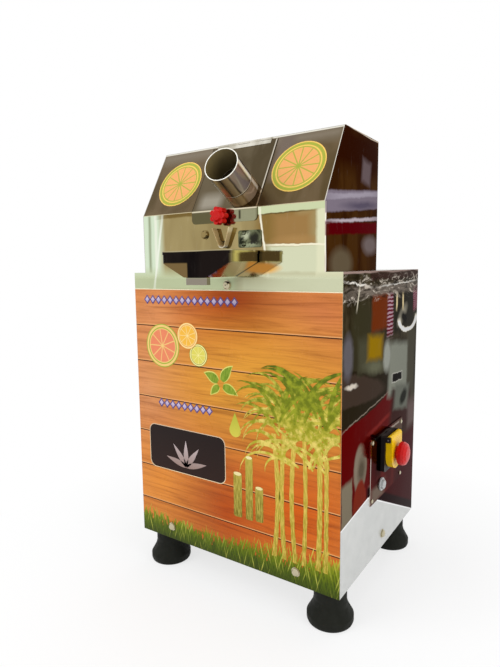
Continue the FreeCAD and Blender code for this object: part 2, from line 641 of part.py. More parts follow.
def side_panel(side):
    """Lower side sheet; the right one has the cut-out behind the control plate."""
    panel = block(*span(side, HALF_WIDTH, HALF_WIDTH - SHEET), SHEET, CABINET_DEPTH - SHEET,
                  0, CABINET_HEIGHT)
    panel = panel.cut(bolt_hole(vec(side * HALF_WIDTH, SIDE_BOLT_Y, SIDE_BOLT_Z), RIGHTWARD))
    if side > 0:
        panel = panel.cut(block(HALF_WIDTH - CUT_REACH, HALF_WIDTH + CUT_REACH, PLATE_Y + PLATE_OVERLAP,
                                PLATE_Y + PLATE_LENGTH - PLATE_OVERLAP, PLATE_Z + PLATE_OVERLAP,
                                PLATE_Z + PLATE_HEIGHT - PLATE_OVERLAP))
        for y, z in plate_screw_places():
            panel = panel.cut(screw_hole(vec(HALF_WIDTH, y, z), RIGHTWARD))
    return panel


def rear_panel():
    """Lower rear sheet with three columns of vent slots and the hole for the cable gland."""
    panel = block(-HALF_WIDTH, HALF_WIDTH, CABINET_DEPTH - SHEET, CABINET_DEPTH, 0, CABINET_HEIGHT)
    for column in (-1, 0, 1):
        x = column * (VENT_LENGTH + VENT_SPACING)
        for row in range(VENT_ROWS):
            z = VENT_BOTTOM + row * VENT_PITCH
            panel = panel.cut(block(x - VENT_LENGTH / 2, x + VENT_LENGTH / 2, CABINET_DEPTH - CUT_REACH,
                                    CABINET_DEPTH + CUT_REACH, z, z + VENT_SLOT))
    return panel.cut(bore(vec(GLAND_X, CABINET_DEPTH, GLAND_Z), FORWARD, GLAND_THREAD))


def top_deck():
    """Sheet over the lower cabinet, open where the belt runs up into the head."""
    deck = block(-HALF_WIDTH + SHEET, HALF_WIDTH - SHEET, SHEET, CABINET_DEPTH - SHEET,
                 CABINET_HEIGHT - SHEET, CABINET_HEIGHT)
    return deck.cut(block(PULLEY_X0 - BELT_SLOT_MARGIN, PULLEY_X0 + PULLEY_WIDTH + BELT_SLOT_MARGIN,
                          OUTPUT_SHAFT_Y - BELT_SLOT_FRONT, HEAD_DEPTH - BELT_SLOT_REAR,
                          CABINET_HEIGHT - CUT_REACH, CABINET_HEIGHT + CUT_REACH))


# ---------------------------------------------------------------- head casing
def head_outline():
    return [(0, CABINET_HEIGHT), (0, KINK_HEIGHT), (HOOD_SETBACK, HEAD_TOP), (HEAD_DEPTH, HEAD_TOP),
            (HEAD_DEPTH, CABINET_HEIGHT)]


def head_shell():
    """The folded skin of the head between its cheeks, before it is parted into sheets."""
    inner_x = HEAD_HALF - SHEET
    deep = [(y, -FAR if z == CABINET_HEIGHT else z) for y, z in head_outline()]
    outer = along_x(head_outline(), -inner_x, inner_x)
    return outer.cut(along_x(outline_inset(deep, SHEET), -HEAD_HALF, HEAD_HALF))


def head_part(y0, y1, z0, z1):
    return head_shell().common(block(-HEAD_HALF, HEAD_HALF, y0, y1, z0, z1))


def head_front():
    """Upright front sheet of the head with the low gate behind the spout and the stud's slot."""
    sheet = head_part(-TOUCH, HEAD_DEPTH / 2, CABINET_HEIGHT, KINK_HEIGHT)
    gate = spout_channel(-CUT_REACH, SHEET + CUT_REACH, SPOUT_FIT)
    sheet = sheet.cut(gate.common(block(-FAR, FAR, -FAR, FAR, -FAR, SPOUT_GATE_TOP + SPOUT_FIT)))
    slot_half = STUD_RADIUS + STUD_SLOT_SIDE
    sheet = sheet.cut(block(KNOB_X - slot_half, KNOB_X + slot_half, -CUT_REACH, SHEET + CUT_REACH,
                            KNOB_HEIGHT - slot_half, KNOB_HEIGHT + STUD_RADIUS + STUD_SLOT_RISE))
    sheet = sheet.cut(bolt_hole(vec(HEAD_BOLT[0], 0, HEAD_BOLT[1]), FORWARD))
    for z in access_screw_heights():
        sheet = sheet.cut(screw_hole(vec(ACCESS_PLATE_X + ACCESS_SCREW_INSET, 0, z), FORWARD))
    for side in (-1, 1):
        sheet = sheet.cut(bore(vec(side * TRAY_PIN_X, 0, TRAY_PIN_Z), FORWARD, TRAY_PIN_RADIUS + SHAFT_FIT))
    return sheet


def hood_panel():
    """Slanted sheet of the head with the feed opening under the door."""
    sheet = head_part(-TOUCH, HEAD_DEPTH / 2, KINK_HEIGHT, HEAD_TOP - SHEET)
    corners = [slope_point(HOOD_OPENING_START, -CUT_REACH), slope_point(HOOD_OPENING_END, -CUT_REACH),
               slope_point(HOOD_OPENING_END, CUT_REACH), slope_point(HOOD_OPENING_START, CUT_REACH)]
    return sheet.cut(along_x(corners, -HOOD_OPENING_HALF_WIDTH, HOOD_OPENING_HALF_WIDTH))


def head_top():
    return head_part(-TOUCH, HEAD_DEPTH + TOUCH, HEAD_TOP - SHEET, HEAD_TOP + TOUCH)


def head_rear():
    """Rear sheet of the head with the opening where the pressed cane comes out."""
    sheet = head_part(HEAD_DEPTH / 2, HEAD_DEPTH + TOUCH, CABINET_HEIGHT, HEAD_TOP - SHEET)
    return sheet.cut(block(-WASTE_HALF_WIDTH, WASTE_HALF_WIDTH, HEAD_DEPTH - CUT_REACH,
                           HEAD_DEPTH + CUT_REACH, WASTE_BOTTOM, WASTE_TOP))


def head_cheek(side):
    """Side sheet of the head; its edge shows as a bright line round the other sheets."""
    return along_x(head_outline(), *span(side, HEAD_HALF, HEAD_HALF - SHEET))


# ---------------------------------------------------------------- feed door
def door_skin(inner, outer):
    """(y, z) outline of a plate that follows flap and slope between two distances from the sheet."""
    def bend(out):
        return (-out, KINK_HEIGHT + out * SLOPE_Y / (1 + SLOPE_Z))
    return [(-inner, DOOR_FLAP_BOTTOM), bend(inner), slope_point(DOOR_END, inner),
            slope_point(DOOR_END, outer), bend(outer), (-outer, DOOR_FLAP_BOTTOM)]


def tube_solid(radius, start, end):
    """Cylinder on the feed axis between two distances out from the hood's surface."""
    direction = feed_direction()
    foot = vec(TUBE_X, FEED_Y, FEED_Z)
    return rod(foot + direction * start, direction, radius, end - start)


def feed_door():
    """Plate over the feed opening, folded down as a flap over the upright front."""
    plate = along_x(door_skin(DOOR_GAP, DOOR_FACE), -DOOR_HALF_WIDTH, DOOR_HALF_WIDTH)
    plate = rounded(plate, REARWARD, DOOR_CORNER_RADIUS, lambda p: abs(p.z - DOOR_FLAP_BOTTOM) < TOUCH)
    plate = plate.cut(tube_solid(TUBE_RADIUS - TUBE_WALL, -TUBE_SINK, TUBE_SINK))
    return plate.cut(bore(vec(KNOB_X, -DOOR_GAP, KNOB_HEIGHT), REARWARD, STUD_RADIUS + SHAFT_FIT))


def feed_tube():
    """Feed tube, cut to lie on the door's slanted face."""
    tube = tube_solid(TUBE_RADIUS, -TUBE_SINK, TUBE_LENGTH)
    tube = tube.cut(tube_solid(TUBE_RADIUS - TUBE_WALL, -TUBE_SINK - CUT_REACH, TUBE_LENGTH + CUT_REACH))
    behind = [slope_point(-FAR, DOOR_FACE), slope_point(FAR, DOOR_FACE), slope_point(FAR, -FAR),
              slope_point(-FAR, -FAR)]
    return tube.cut(along_x(behind, -FAR, FAR))


def knuckle_span(index):
    """Where a hinge knuckle starts and ends along x."""
    start = index * HINGE_KNUCKLE_WIDTH - HINGE_HALF_WIDTH
    return start + HINGE_SIDE_GAP / 2, start + HINGE_KNUCKLE_WIDTH - HINGE_SIDE_GAP / 2


def hinge_rod(radius, x0, x1):
    """Rod on the hinge's axis between two x positions."""
    y, z = slope_point(HINGE_UP_SLOPE, HINGE_OUT)
    return rod(vec(x0, y, z), RIGHTWARD, radius, x1 - x0)


def hinge_bore():
    return hinge_rod(HINGE_PIN_RADIUS + SHAFT_FIT, -FAR, FAR)


def hinge_door_leaf():
    """Leaf on the door's face with the second and fourth knuckle."""
    def strip(start, end, x0, x1):
        low, high = DOOR_FACE, DOOR_FACE + HINGE_LEAF
        return along_x([slope_point(start, low), slope_point(end, low), slope_point(end, high),
                        slope_point(start, high)], x0, x1)
    pieces = [strip(DOOR_END - HINGE_LEAF_WIDTH, DOOR_END, -HINGE_HALF_WIDTH, HINGE_HALF_WIDTH)]
    for index in range(1, HINGE_KNUCKLES, 2):
        x0, x1 = knuckle_span(index)
        pieces.append(strip(DOOR_END - HINGE_LEAF, HINGE_UP_SLOPE, x0, x1))
        pieces.append(hinge_rod(HINGE_KNUCKLE_RADIUS, x0, x1))
    return joined(pieces).cut(hinge_bore())


def hinge_fixed_leaf():
    """Leaf on the hood just below the ridge, with the other three knuckles."""
    end = SLOPE_LENGTH - HINGE_LEAF_STOP

    def strip(start, x0, x1):
        return along_x([slope_point(start, 0), slope_point(end, 0), slope_point(end, HINGE_LEAF),
                        slope_point(start, HINGE_LEAF)], x0, x1)
    behind = HINGE_UP_SLOPE + HINGE_KNUCKLE_RADIUS + HINGE_DOOR_GAP
    pieces = [strip(behind, -HINGE_HALF_WIDTH, HINGE_HALF_WIDTH)]
    for index in range(0, HINGE_KNUCKLES, 2):
        x0, x1 = knuckle_span(index)
        pieces += [strip(HINGE_UP_SLOPE, x0, x1), hinge_rod(HINGE_KNUCKLE_RADIUS, x0, x1)]
    leaf = joined(pieces).cut(hinge_bore())
    for index in range(1, HINGE_KNUCKLES, 2):
        x0, x1 = knuckle_span(index)
        leaf = leaf.cut(hinge_rod(HINGE_KNUCKLE_RADIUS + HINGE_SIDE_GAP, x0 - HINGE_SIDE_GAP,
                                  x1 + HINGE_SIDE_GAP))
    return leaf


def hinge_pin():
    return hinge_rod(HINGE_PIN_RADIUS, -HINGE_HALF_WIDTH, HINGE_HALF_WIDTH)


def door_knob():
    """Lobed plastic knob with a stem behind its grip."""
    stem_back = -DOOR_FACE - KNOB_FACE_GAP
    grip_back = stem_back - KNOB_STEM_LENGTH
    lobe_radius = KNOB_RADIUS * KNOB_LOBE_SHARE
    ring = KNOB_RADIUS - lobe_radius
    core = turned([(0, 0), (ring, 0), (ring, KNOB_LENGTH - KNOB_CHAMFER), (ring - KNOB_CHAMFER, KNOB_LENGTH),
                   (0, KNOB_LENGTH)], vec(KNOB_X, grip_back, KNOB_HEIGHT), FORWARD)
    pieces = [core, rod(vec(KNOB_X, stem_back, KNOB_HEIGHT), FORWARD, KNOB_STEM_RADIUS, KNOB_STEM_LENGTH + 1)]
    for lobe in range(KNOB_LOBES):
        angle = 2 * math.pi * lobe / KNOB_LOBES
        centre = vec(KNOB_X + ring * math.cos(angle), grip_back, KNOB_HEIGHT + ring * math.sin(angle))
        pieces.append(rod(centre, FORWARD, lobe_radius, KNOB_LENGTH - KNOB_CHAMFER))
    return joined(pieces).cut(stud_rod(stem_back + TOUCH))


def stud_rod(back):
    """Rod on the knob's axis from back to the stud's end inside the knob."""
    end = -DOOR_FACE - KNOB_FACE_GAP - KNOB_STEM_LENGTH - STUD_IN_KNOB
    return rod(vec(KNOB_X, back, KNOB_HEIGHT), FORWARD, STUD_RADIUS, back - end)


def knob_stud():
    """Steel stud moulded into the knob, through the flap into the slot of the front sheet."""
    return stud_rod(STUD_REACH - DOOR_FACE)


# ---------------------------------------------------------------- spout, pan and tray
def spout_section(y, floor, grow):
    """Section of the spout as a face at y: slanted sides that run into a round floor."""
    centre = SPOUT_FLOOR_RADIUS
    to_top = math.atan2(SPOUT_HEIGHT - centre, SPOUT_HALF_WIDTH)
    touch = to_top - math.acos(centre / math.hypot(SPOUT_HALF_WIDTH, SPOUT_HEIGHT - centre))
    radius = SPOUT_FLOOR_RADIUS + grow
    low_x, low_z = radius * math.cos(touch), centre + radius * math.sin(touch)
    high_x = low_x - math.tan(touch) * (SPOUT_HEIGHT - low_z)

    def point(x, height):
        return vec(SPOUT_X + x, y, floor + height)
    edges = [Part.LineSegment(point(high_x, SPOUT_HEIGHT), point(low_x, low_z)),
             Part.Arc(point(low_x, low_z), point(0, centre - radius), point(-low_x, low_z)),
             Part.LineSegment(point(-low_x, low_z), point(-high_x, SPOUT_HEIGHT)),
             Part.LineSegment(point(-high_x, SPOUT_HEIGHT), point(high_x, SPOUT_HEIGHT))]
    return Part.Face(Part.Wire([edge.toShape() for edge in edges]))


def spout_channel(y0, y1, grow):
    """Solid that fills the spout's section from y0 to y1, falling toward the front."""
    fall = SPOUT_DROP / SPOUT_REACH
    section = spout_section(y0, SPOUT_BOTTOM + fall * y0, grow)
    return section.extrude(vec(0, y1 - y0, fall * (y1 - y0)))


def juice_spout():
    """Spout before the front sheet, with a leaning lip; its low tail passes through the sheet's gate."""
    front = -SPOUT_REACH - SPOUT_LEAN
    top = SPOUT_BOTTOM + SPOUT_HEIGHT - SPOUT_DROP * (1 + SPOUT_LEAN / SPOUT_REACH)
    outer = spout_channel(front, SPOUT_TAIL, 0)
    inner = spout_channel(front - CUT_REACH, SPOUT_TAIL + CUT_REACH, -SPOUT_THICKNESS)
    above = block(-FAR, FAR, -FAR, FAR, top - SPOUT_THICKNESS / 2, FAR)
    behind = block(-FAR, FAR, -SPOUT_FIT, FAR, SPOUT_GATE_TOP, FAR)
    lip = along_x([(-FAR, -FAR), (-SPOUT_REACH, -FAR), (-SPOUT_REACH, SPOUT_BOTTOM),
                   (front, SPOUT_BOTTOM + SPOUT_HEIGHT), (-FAR, SPOUT_BOTTOM + SPOUT_HEIGHT)], -FAR, FAR)
    return outer.cut(inner).cut(above).cut(behind).cut(lip)


def juice_pan():
    """Sloping pan under the rollers; its front lip pours into the spout."""
    y0 = SPOUT_TAIL
    y1 = HEAD_DEPTH - PAN_REAR_MARGIN
    half = PLATE_INNER_X - PAN_SIDE_GAP
    low = SPOUT_BOTTOM + SPOUT_DROP * SPOUT_TAIL / SPOUT_REACH + SPOUT_THICKNESS + PAN_STEP - SHEET

    def floor(y, lift):
        return (y, low + PAN_FALL * (y - y0) / (y1 - y0) + lift)
    section = [floor(y0, 0), floor(y1, 0), floor(y1, PAN_WALL), floor(y0, PAN_WALL)]
    hollow = [floor(y0 + SHEET, SHEET), floor(y1 - SHEET, SHEET), floor(y1 - SHEET, PAN_WALL + CUT_REACH),
              floor(y0 + SHEET, PAN_WALL + CUT_REACH)]
    pan = along_x(section, -half, half).cut(along_x(hollow, -half + SHEET, half - SHEET))
    gate = spout_channel(y0 - SHEET, y0 + SHEET + TOUCH, -SPOUT_THICKNESS)
    return pan.cut(gate.common(block(-FAR, FAR, -FAR, FAR, low + SHEET, FAR)))


def tray_block(inset, top):
    """The tray's solid form, made smaller on every wall by inset and open at the given top."""
    side, floor = TRAY_HALF_WIDTH, TRAY_FLOOR_HALF_WIDTH
    outline = [(-side, top + inset), (-side, TRAY_BAND_BOTTOM), (-floor, TRAY_FLOOR),
               (floor, TRAY_FLOOR), (side, TRAY_BAND_BOTTOM), (side, top + inset)]
    form = along_y(outline_inset(outline, inset), TRAY_FRONT + inset, TRAY_REAR - inset)
    return rounded(form, UPWARD, TRAY_CORNER - inset, lambda p: abs(abs(p.x) - side + inset) < TOUCH)


def tray_collar(inset, z0, z1):
    x1 = TRAY_COLLAR_HALF_WIDTH - inset
    y0 = TRAY_FRONT + inset
    y1 = TRAY_FRONT + TRAY_COLLAR_DEPTH - inset
    return rounded(block(-x1, x1, y0, y1, z0, z1), UPWARD, TRAY_CORNER - inset)


def juice_tray():
    """Sheet tray with a folded rim, a V-shaped bottom, an outlet collar and two bushes for its pins."""
    rim = tray_block(-TRAY_HEM, TRAY_TOP).common(
        block(-FAR, FAR, -FAR, TRAY_REAR, TRAY_TOP - TRAY_HEM_HEIGHT, TRAY_TOP))
    root = TRAY_FLOOR + TRAY_COLLAR_ROOT
    tray = joined([tray_block(0, TRAY_TOP), rim, tray_collar(0, TRAY_COLLAR_BOTTOM, TRAY_FLOOR + TRAY_SHEET)])
    tray = tray.cut(tray_block(TRAY_SHEET, TRAY_TOP + CUT_REACH))
    tray = tray.cut(tray_collar(TRAY_SHEET, TRAY_COLLAR_BOTTOM - CUT_REACH, root))
    bushes = [rod(vec(side * TRAY_PIN_X, TRAY_REAR - TRAY_SHEET / 2, TRAY_PIN_Z), FORWARD,
                  TRAY_PIN_RADIUS + TRAY_BUSH_WALL, TRAY_PIN_REACH) for side in (-1, 1)]
    tray = joined([tray] + bushes)
    for side in (-1, 1):
        middle = vec(side * TRAY_PIN_X, -TRAY_PIN_REACH / 2, TRAY_PIN_Z)
        tray = tray.cut(bore(middle, FORWARD, TRAY_PIN_RADIUS + SHAFT_FIT, TRAY_PIN_REACH))
    return tray


def tray_pins():
    """Two steel pins in the front sheet that carry the tray."""
    head = TRAY_PIN_RADIUS + TRAY_PIN_HEAD
    profile = [(0, -TRAY_PIN_REACH), (TRAY_PIN_RADIUS - TRAY_PIN_POINT, -TRAY_PIN_REACH),
               (TRAY_PIN_RADIUS, TRAY_PIN_POINT - TRAY_PIN_REACH), (TRAY_PIN_RADIUS, SHEET),
               (head, SHEET), (head, SHEET + TRAY_PIN_HEAD_THICKNESS), (0, SHEET + TRAY_PIN_HEAD_THICKNESS)]
    return [turned(profile, vec(side * TRAY_PIN_X, 0, TRAY_PIN_Z), REARWARD) for side in (-1, 1)]


def tray_strainer():
    """Slotted plate that drops on to the tray's slant."""
    z = TRAY_BAND_BOTTOM - STRAINER_BELOW_BAND
    slant = (TRAY_HALF_WIDTH - TRAY_FLOOR_HALF_WIDTH) / (TRAY_BAND_BOTTOM - TRAY_FLOOR)
    wall = TRAY_SHEET * math.hypot(1, slant)
    half = TRAY_HALF_WIDTH - slant * STRAINER_BELOW_BAND - wall - STRAINER_SIDE_GAP
    y0 = TRAY_FRONT + TRAY_SHEET + STRAINER_END_GAP
    y1 = TRAY_REAR - TRAY_SHEET - STRAINER_END_GAP
    plate = block(-half, half, y0, y1, z, z + STRAINER_THICKNESS)
    count = int(2 * (half - STRAINER_RIM) / STRAINER_PITCH) + 1
    for index in range(count):
        x = (index - (count - 1) / 2) * STRAINER_PITCH
        plate = plate.cut(block(x - STRAINER_SLOT / 2, x + STRAINER_SLOT / 2, y0 + STRAINER_RIM,
                                y1 - STRAINER_RIM, z - CUT_REACH, z + CUT_REACH))
    return plate


# ---------------------------------------------------------------- rollers, gears and drive
def toothed_outline(phase):
    """(y, z) outline of an involute gear about its centre; phase is the angle of one tooth's middle."""
    pitch = CENTRE_DISTANCE / 2
    base = pitch * math.cos(math.radians(PRESSURE_ANGLE))
    tip = pitch + GEAR_MODULE
    root = pitch - 1.25 * GEAR_MODULE
    involute = math.tan(math.radians(PRESSURE_ANGLE)) - math.radians(PRESSURE_ANGLE)
    half_at_pitch = math.pi / (2 * GEAR_TEETH) - GEAR_BACKLASH / (2 * pitch)
    flank = []
    for radius in (base, pitch - 0.45 * GEAR_MODULE, pitch, pitch + 0.5 * GEAR_MODULE, tip):
        turn = math.acos(min(1.0, base / max(radius, base)))
        flank.append((max(radius, base), half_at_pitch + involute - (math.tan(turn) - turn)))
    points = []
    for tooth in range(GEAR_TEETH):
        middle = phase + 2 * math.pi * tooth / GEAR_TEETH
        rising = [(root, flank[0][1] + 0.02)] + flank
        for radius, half in rising:
            points.append((radius, middle - half))
        for radius, half in reversed(rising):
            points.append((radius, middle + half))
    return [(radius * math.cos(angle), radius * math.sin(angle)) for radius, angle in points]


def direction_angle(start, end):
    return math.atan2(end[1] - start[1], end[0] - start[0])


def gear_phases():
    """Tooth angles that set the front and rear gear in mesh with the top one."""
    pitch_angle = 2 * math.pi / GEAR_TEETH
    to_front = direction_angle(TOP_ROLLER, FRONT_ROLLER)
    to_rear = direction_angle(TOP_ROLLER, REAR_ROLLER)
    top = to_front
    front = to_front + math.pi + pitch_angle / 2
    ahead = (top - to_rear) % pitch_angle
    rear = to_rear + math.pi - ahead + pitch_angle / 2
    return top, front, rear


def roller_gear(index):
    """Gear on the left end of a roller's shaft."""
    centre = ROLLERS[index]
    outline = [(centre[0] + y, centre[1] + z) for y, z in toothed_outline(gear_phases()[index])]
    gear = along_x(outline, GEAR_X0, GEAR_X0 + GEAR_WIDTH)
    return gear.cut(bore(vec(GEAR_X0, centre[0], centre[1]), RIGHTWARD, SHAFT_RADIUS, 2 * GEAR_WIDTH))


def crushing_roller(index, right_end):
    """Fluted roller with its shaft."""
    y, z = ROLLERS[index]
    radius = ROLLER_DIAMETER / 2
    points = []
    for step in range(2 * FLUTES):
        reach = radius if step % 2 == 0 else radius - FLUTE_DEPTH
        angle = math.pi * step / FLUTES
        points.append((y + reach * math.cos(angle), z + reach * math.sin(angle)))
    drum = along_x(points, -ROLLER_HALF_LENGTH, ROLLER_HALF_LENGTH)
    left_end = GEAR_X0 - GEAR_SHAFT_END
    shaft = rod(vec(left_end, y, z), RIGHTWARD, SHAFT_RADIUS, right_end - left_end)
    return joined([drum, shaft])


def roller_plate(side):
    """Thick cheek that carries the rollers, with a foot on the deck and three bearing seats."""
    radius = ROLLER_DIAMETER / 2
    front = max(SHEET + ROLLER_PLATE_MARGIN, FRONT_ROLLER[0] - radius - ROLLER_PLATE_MARGIN)
    shoulder = slope_point(ROLLER_PLATE_MARGIN, -ROLLER_PLATE_SHOULDER)
    crown_z = TOP_ROLLER[1] + BEARING_FLANGE_RADIUS + ROLLER_PLATE_CROWN
    crown_front = (crown_z - KINK_HEIGHT) / SLOPE_Z * SLOPE_Y + (ROLLER_PLATE_SHOULDER + SHEET) / SLOPE_Z
    rear = REAR_ROLLER[0] + radius + ROLLER_PLATE_REAR
    outline = [(front, CABINET_HEIGHT), (front, shoulder[1]), (crown_front, crown_z),
               (TOP_ROLLER[0] + ROLLER_PLATE_TOP, crown_z), (rear, REAR_ROLLER[1] + ROLLER_PLATE_DROP),
               (rear, CABINET_HEIGHT)]
    plate = along_x(outline, *span(side, PLATE_INNER_X, PLATE_OUTER_X))
    foot = block(*span(side, PLATE_OUTER_X, PLATE_OUTER_X + ROLLER_PLATE_FOOT),
                 front + ROLLER_PLATE_FOOT_INSET, rear - ROLLER_PLATE_FOOT_INSET,
                 CABINET_HEIGHT, CABINET_HEIGHT + ROLLER_PLATE_FOOT)
    plate = joined([plate, foot])
    for y, z in ROLLERS:
        plate = plate.cut(bore(vec(side * PLATE_INNER_X, y, z), RIGHTWARD, BEARING_SPIGOT_RADIUS,
                               2 * ROLLER_PLATE_THICKNESS))
    for y, z in tie_bar_places():
        plate = plate.cut(bore(vec(side * PLATE_INNER_X, y, z), RIGHTWARD, TIE_END_RADIUS,
                               2 * ROLLER_PLATE_THICKNESS))
    return plate


def tie_bar_places():
    rear = REAR_ROLLER[0] + ROLLER_DIAMETER / 2 - TIE_BAR_REAR_INSET
    low = CABINET_HEIGHT + TIE_BAR_RISE
    return [(rear, low), (FRONT_ROLLER[0], low),
            (TOP_ROLLER[0] + TIE_BAR_BEHIND_TOP, TOP_ROLLER[1] + TIE_BAR_RISE)]


def tie_bars():
    """Three shouldered bars that hold the roller plates apart."""
    end = PLATE_OUTER_X + TIE_END_LENGTH
    profile = [(0, -end), (TIE_END_RADIUS, -end), (TIE_END_RADIUS, -PLATE_INNER_X),
               (TIE_BAR_RADIUS, -PLATE_INNER_X), (TIE_BAR_RADIUS, PLATE_INNER_X),
               (TIE_END_RADIUS, PLATE_INNER_X), (TIE_END_RADIUS, end), (0, end)]
    return [turned(profile, vec(0, y, z), RIGHTWARD) for y, z in tie_bar_places()]


def roller_bearings():
    """Six flanged bearings, three on each plate."""
    units = []
    bore = SHAFT_RADIUS + SHAFT_FIT
    for side in (-1, 1):
        for y, z in ROLLERS:
            profile = [(bore, 0), (BEARING_SPIGOT_RADIUS, 0), (BEARING_SPIGOT_RADIUS, ROLLER_PLATE_THICKNESS),
                       (BEARING_FLANGE_RADIUS, ROLLER_PLATE_THICKNESS),
                       (BEARING_FLANGE_RADIUS, ROLLER_PLATE_THICKNESS + BEARING_FLANGE_EDGE),
                       (BEARING_SPIGOT_RADIUS, ROLLER_PLATE_THICKNESS + BEARING_FLANGE_THICKNESS),
                       (bore, ROLLER_PLATE_THICKNESS + BEARING_FLANGE_THICKNESS)]
            units.append(turned(profile, vec(side * PLATE_INNER_X, y, z), vec(side, 0, 0)))
    return units


def scrapers():
    """Two blades between the plates that keep the lower rollers clean."""
    blades = []
    reach = ROLLER_DIAMETER / 2 + SCRAPER_GAP
    for (y, z), place in zip((FRONT_ROLLER, REAR_ROLLER), SCRAPER_ANGLES):
        angle = math.radians(place)
        lean = math.radians(place - SCRAPER_LEAN)
        tip_y, tip_z = y + reach * math.cos(angle), z + reach * math.sin(angle)

        def point(out, aside):
            return (tip_y + out * math.cos(lean) - aside * math.sin(lean),
                    tip_z + out * math.sin(lean) + aside * math.cos(lean))
        blade = [point(0, 0), point(SCRAPER_LENGTH, 0), point(SCRAPER_LENGTH, SCRAPER_THICKNESS),
                 point(SCRAPER_THICKNESS, SCRAPER_THICKNESS)]
        blades.append(along_x(blade, -PLATE_INNER_X, PLATE_INNER_X))
    return blades


def feed_chute():
    """Square duct from the hood's opening to the rollers, on the feed axis."""
    half = TUBE_RADIUS + DUCT_MARGIN
    reach = NIP_REACH - ROLLER_DIAMETER / 2 - DUCT_MARGIN
    x0 = TUBE_X - half - DUCT_LEFT_MARGIN
    x1 = min(TUBE_X + half, PLATE_INNER_X - DUCT_MARGIN)

    def corner(distance, offset):
        return (FEED_Y + FEED_IN_Y * distance - FEED_IN_Z * offset,
                FEED_Z + FEED_IN_Z * distance + FEED_IN_Y * offset)

    def duct(height):
        return [corner(-FAR, -height), corner(reach, -height), corner(reach, height), corner(-FAR, height)]
    walls = along_x(duct(half), x0, x1).cut(along_x(duct(half - SHEET), x0 + SHEET, x1 - SHEET))
    before_hood = [slope_point(-FAR, -SHEET), slope_point(FAR, -SHEET), slope_point(FAR, FAR),
                   slope_point(-FAR, FAR)]
    return walls.cut(along_x(before_hood, -FAR, FAR)).cut(block(-FAR, FAR, -FAR, SHEET, -FAR, FAR))


def waste_chute():
    """Open trough that leads the pressed cane out of the rear."""
    half = WASTE_HALF_WIDTH - CHUTE_SIDE_GAP
    y0 = HEAD_DEPTH - SHEET - CHUTE_INSIDE
    y1 = HEAD_DEPTH + CHUTE_LENGTH
    z0 = WASTE_BOTTOM + CHUTE_LIFT
    z1 = z0 - CHUTE_DROP
    floor = [(y0, z0), (y1, z1), (y1, z1 + SHEET), (y0, z0 + SHEET)]
    wall = [(y0, z0), (y1, z1), (y1, z1 + CHUTE_WALL_REAR), (y0, z0 + CHUTE_WALL_FRONT)]
    pieces = [along_x(floor, -half, half)]
    pieces += [along_x(wall, *span(side, half, half - SHEET)) for side in (-1, 1)]
    pieces.append(block(-half, half, HEAD_DEPTH, HEAD_DEPTH + SHEET, WASTE_BOTTOM - CHUTE_TAB_BELOW,
                        WASTE_BOTTOM + CHUTE_TAB_ABOVE))
    return joined(pieces)


def belt_loop(inset):
    """(y, z) loop round both pulleys, as a wire at x = 0."""
    (y1, z1), r1 = REAR_ROLLER, ROLLER_PULLEY_RADIUS - BELT_BELOW_RIM - inset
    (y2, z2), r2 = (OUTPUT_SHAFT_Y, OUTPUT_SHAFT_Z), OUTPUT_PULLEY_RADIUS - BELT_BELOW_RIM - inset
    run = math.hypot(y2 - y1, z2 - z1)
    line = math.atan2(z2 - z1, y2 - y1)
    lean = math.acos((r1 - r2) / run)

    def point(centre, radius, angle):
        return vec(0, centre[0] + radius * math.cos(angle), centre[1] + radius * math.sin(angle))
    a, b = line + lean, line - lean
    big = Part.Arc(point((y1, z1), r1, a), point((y1, z1), r1, line + math.pi), point((y1, z1), r1, b))
    small = Part.Arc(point((y2, z2), r2, b), point((y2, z2), r2, line), point((y2, z2), r2, a))
    first = Part.LineSegment(point((y1, z1), r1, b), point((y2, z2), r2, b))
    second = Part.LineSegment(point((y2, z2), r2, a), point((y1, z1), r1, a))
    return Part.Wire([big.toShape(), first.toShape(), small.toShape(), second.toShape()])


def groove_width(depth):
    """Width of the pulley's groove at a depth below the rim."""
    return GROOVE_TOP_WIDTH + (GROOVE_BOTTOM_WIDTH - GROOVE_TOP_WIDTH) * depth / GROOVE_DEPTH


def drive_belt():
    """V-belt from the gearbox to the rear roller, leaning in like the grooves that it runs in."""
    middle = PULLEY_X0 + PULLEY_WIDTH / 2
    back = groove_width(BELT_BELOW_RIM + BELT_EDGE) / 2 - BELT_SIDE_GAP
    inside = groove_width(BELT_BELOW_RIM + BELT_THICKNESS) / 2 - BELT_SIDE_GAP

    def loop(inset, x):
        wire = belt_loop(inset)
        wire.translate(vec(middle + x, 0, 0))
        return wire
    belt = Part.Face(loop(0, -back)).extrude(vec(2 * back, 0, 0))
    belt = belt.cut(Part.Face(loop(BELT_THICKNESS, -back - 1)).extrude(vec(2 * back + 2, 0, 0)))
    for side in (-1, 1):
        flank = Part.makeLoft([loop(BELT_EDGE, side * back), loop(BELT_THICKNESS, side * inside)], True, True)
        belt = belt.cut(flank)
    return belt


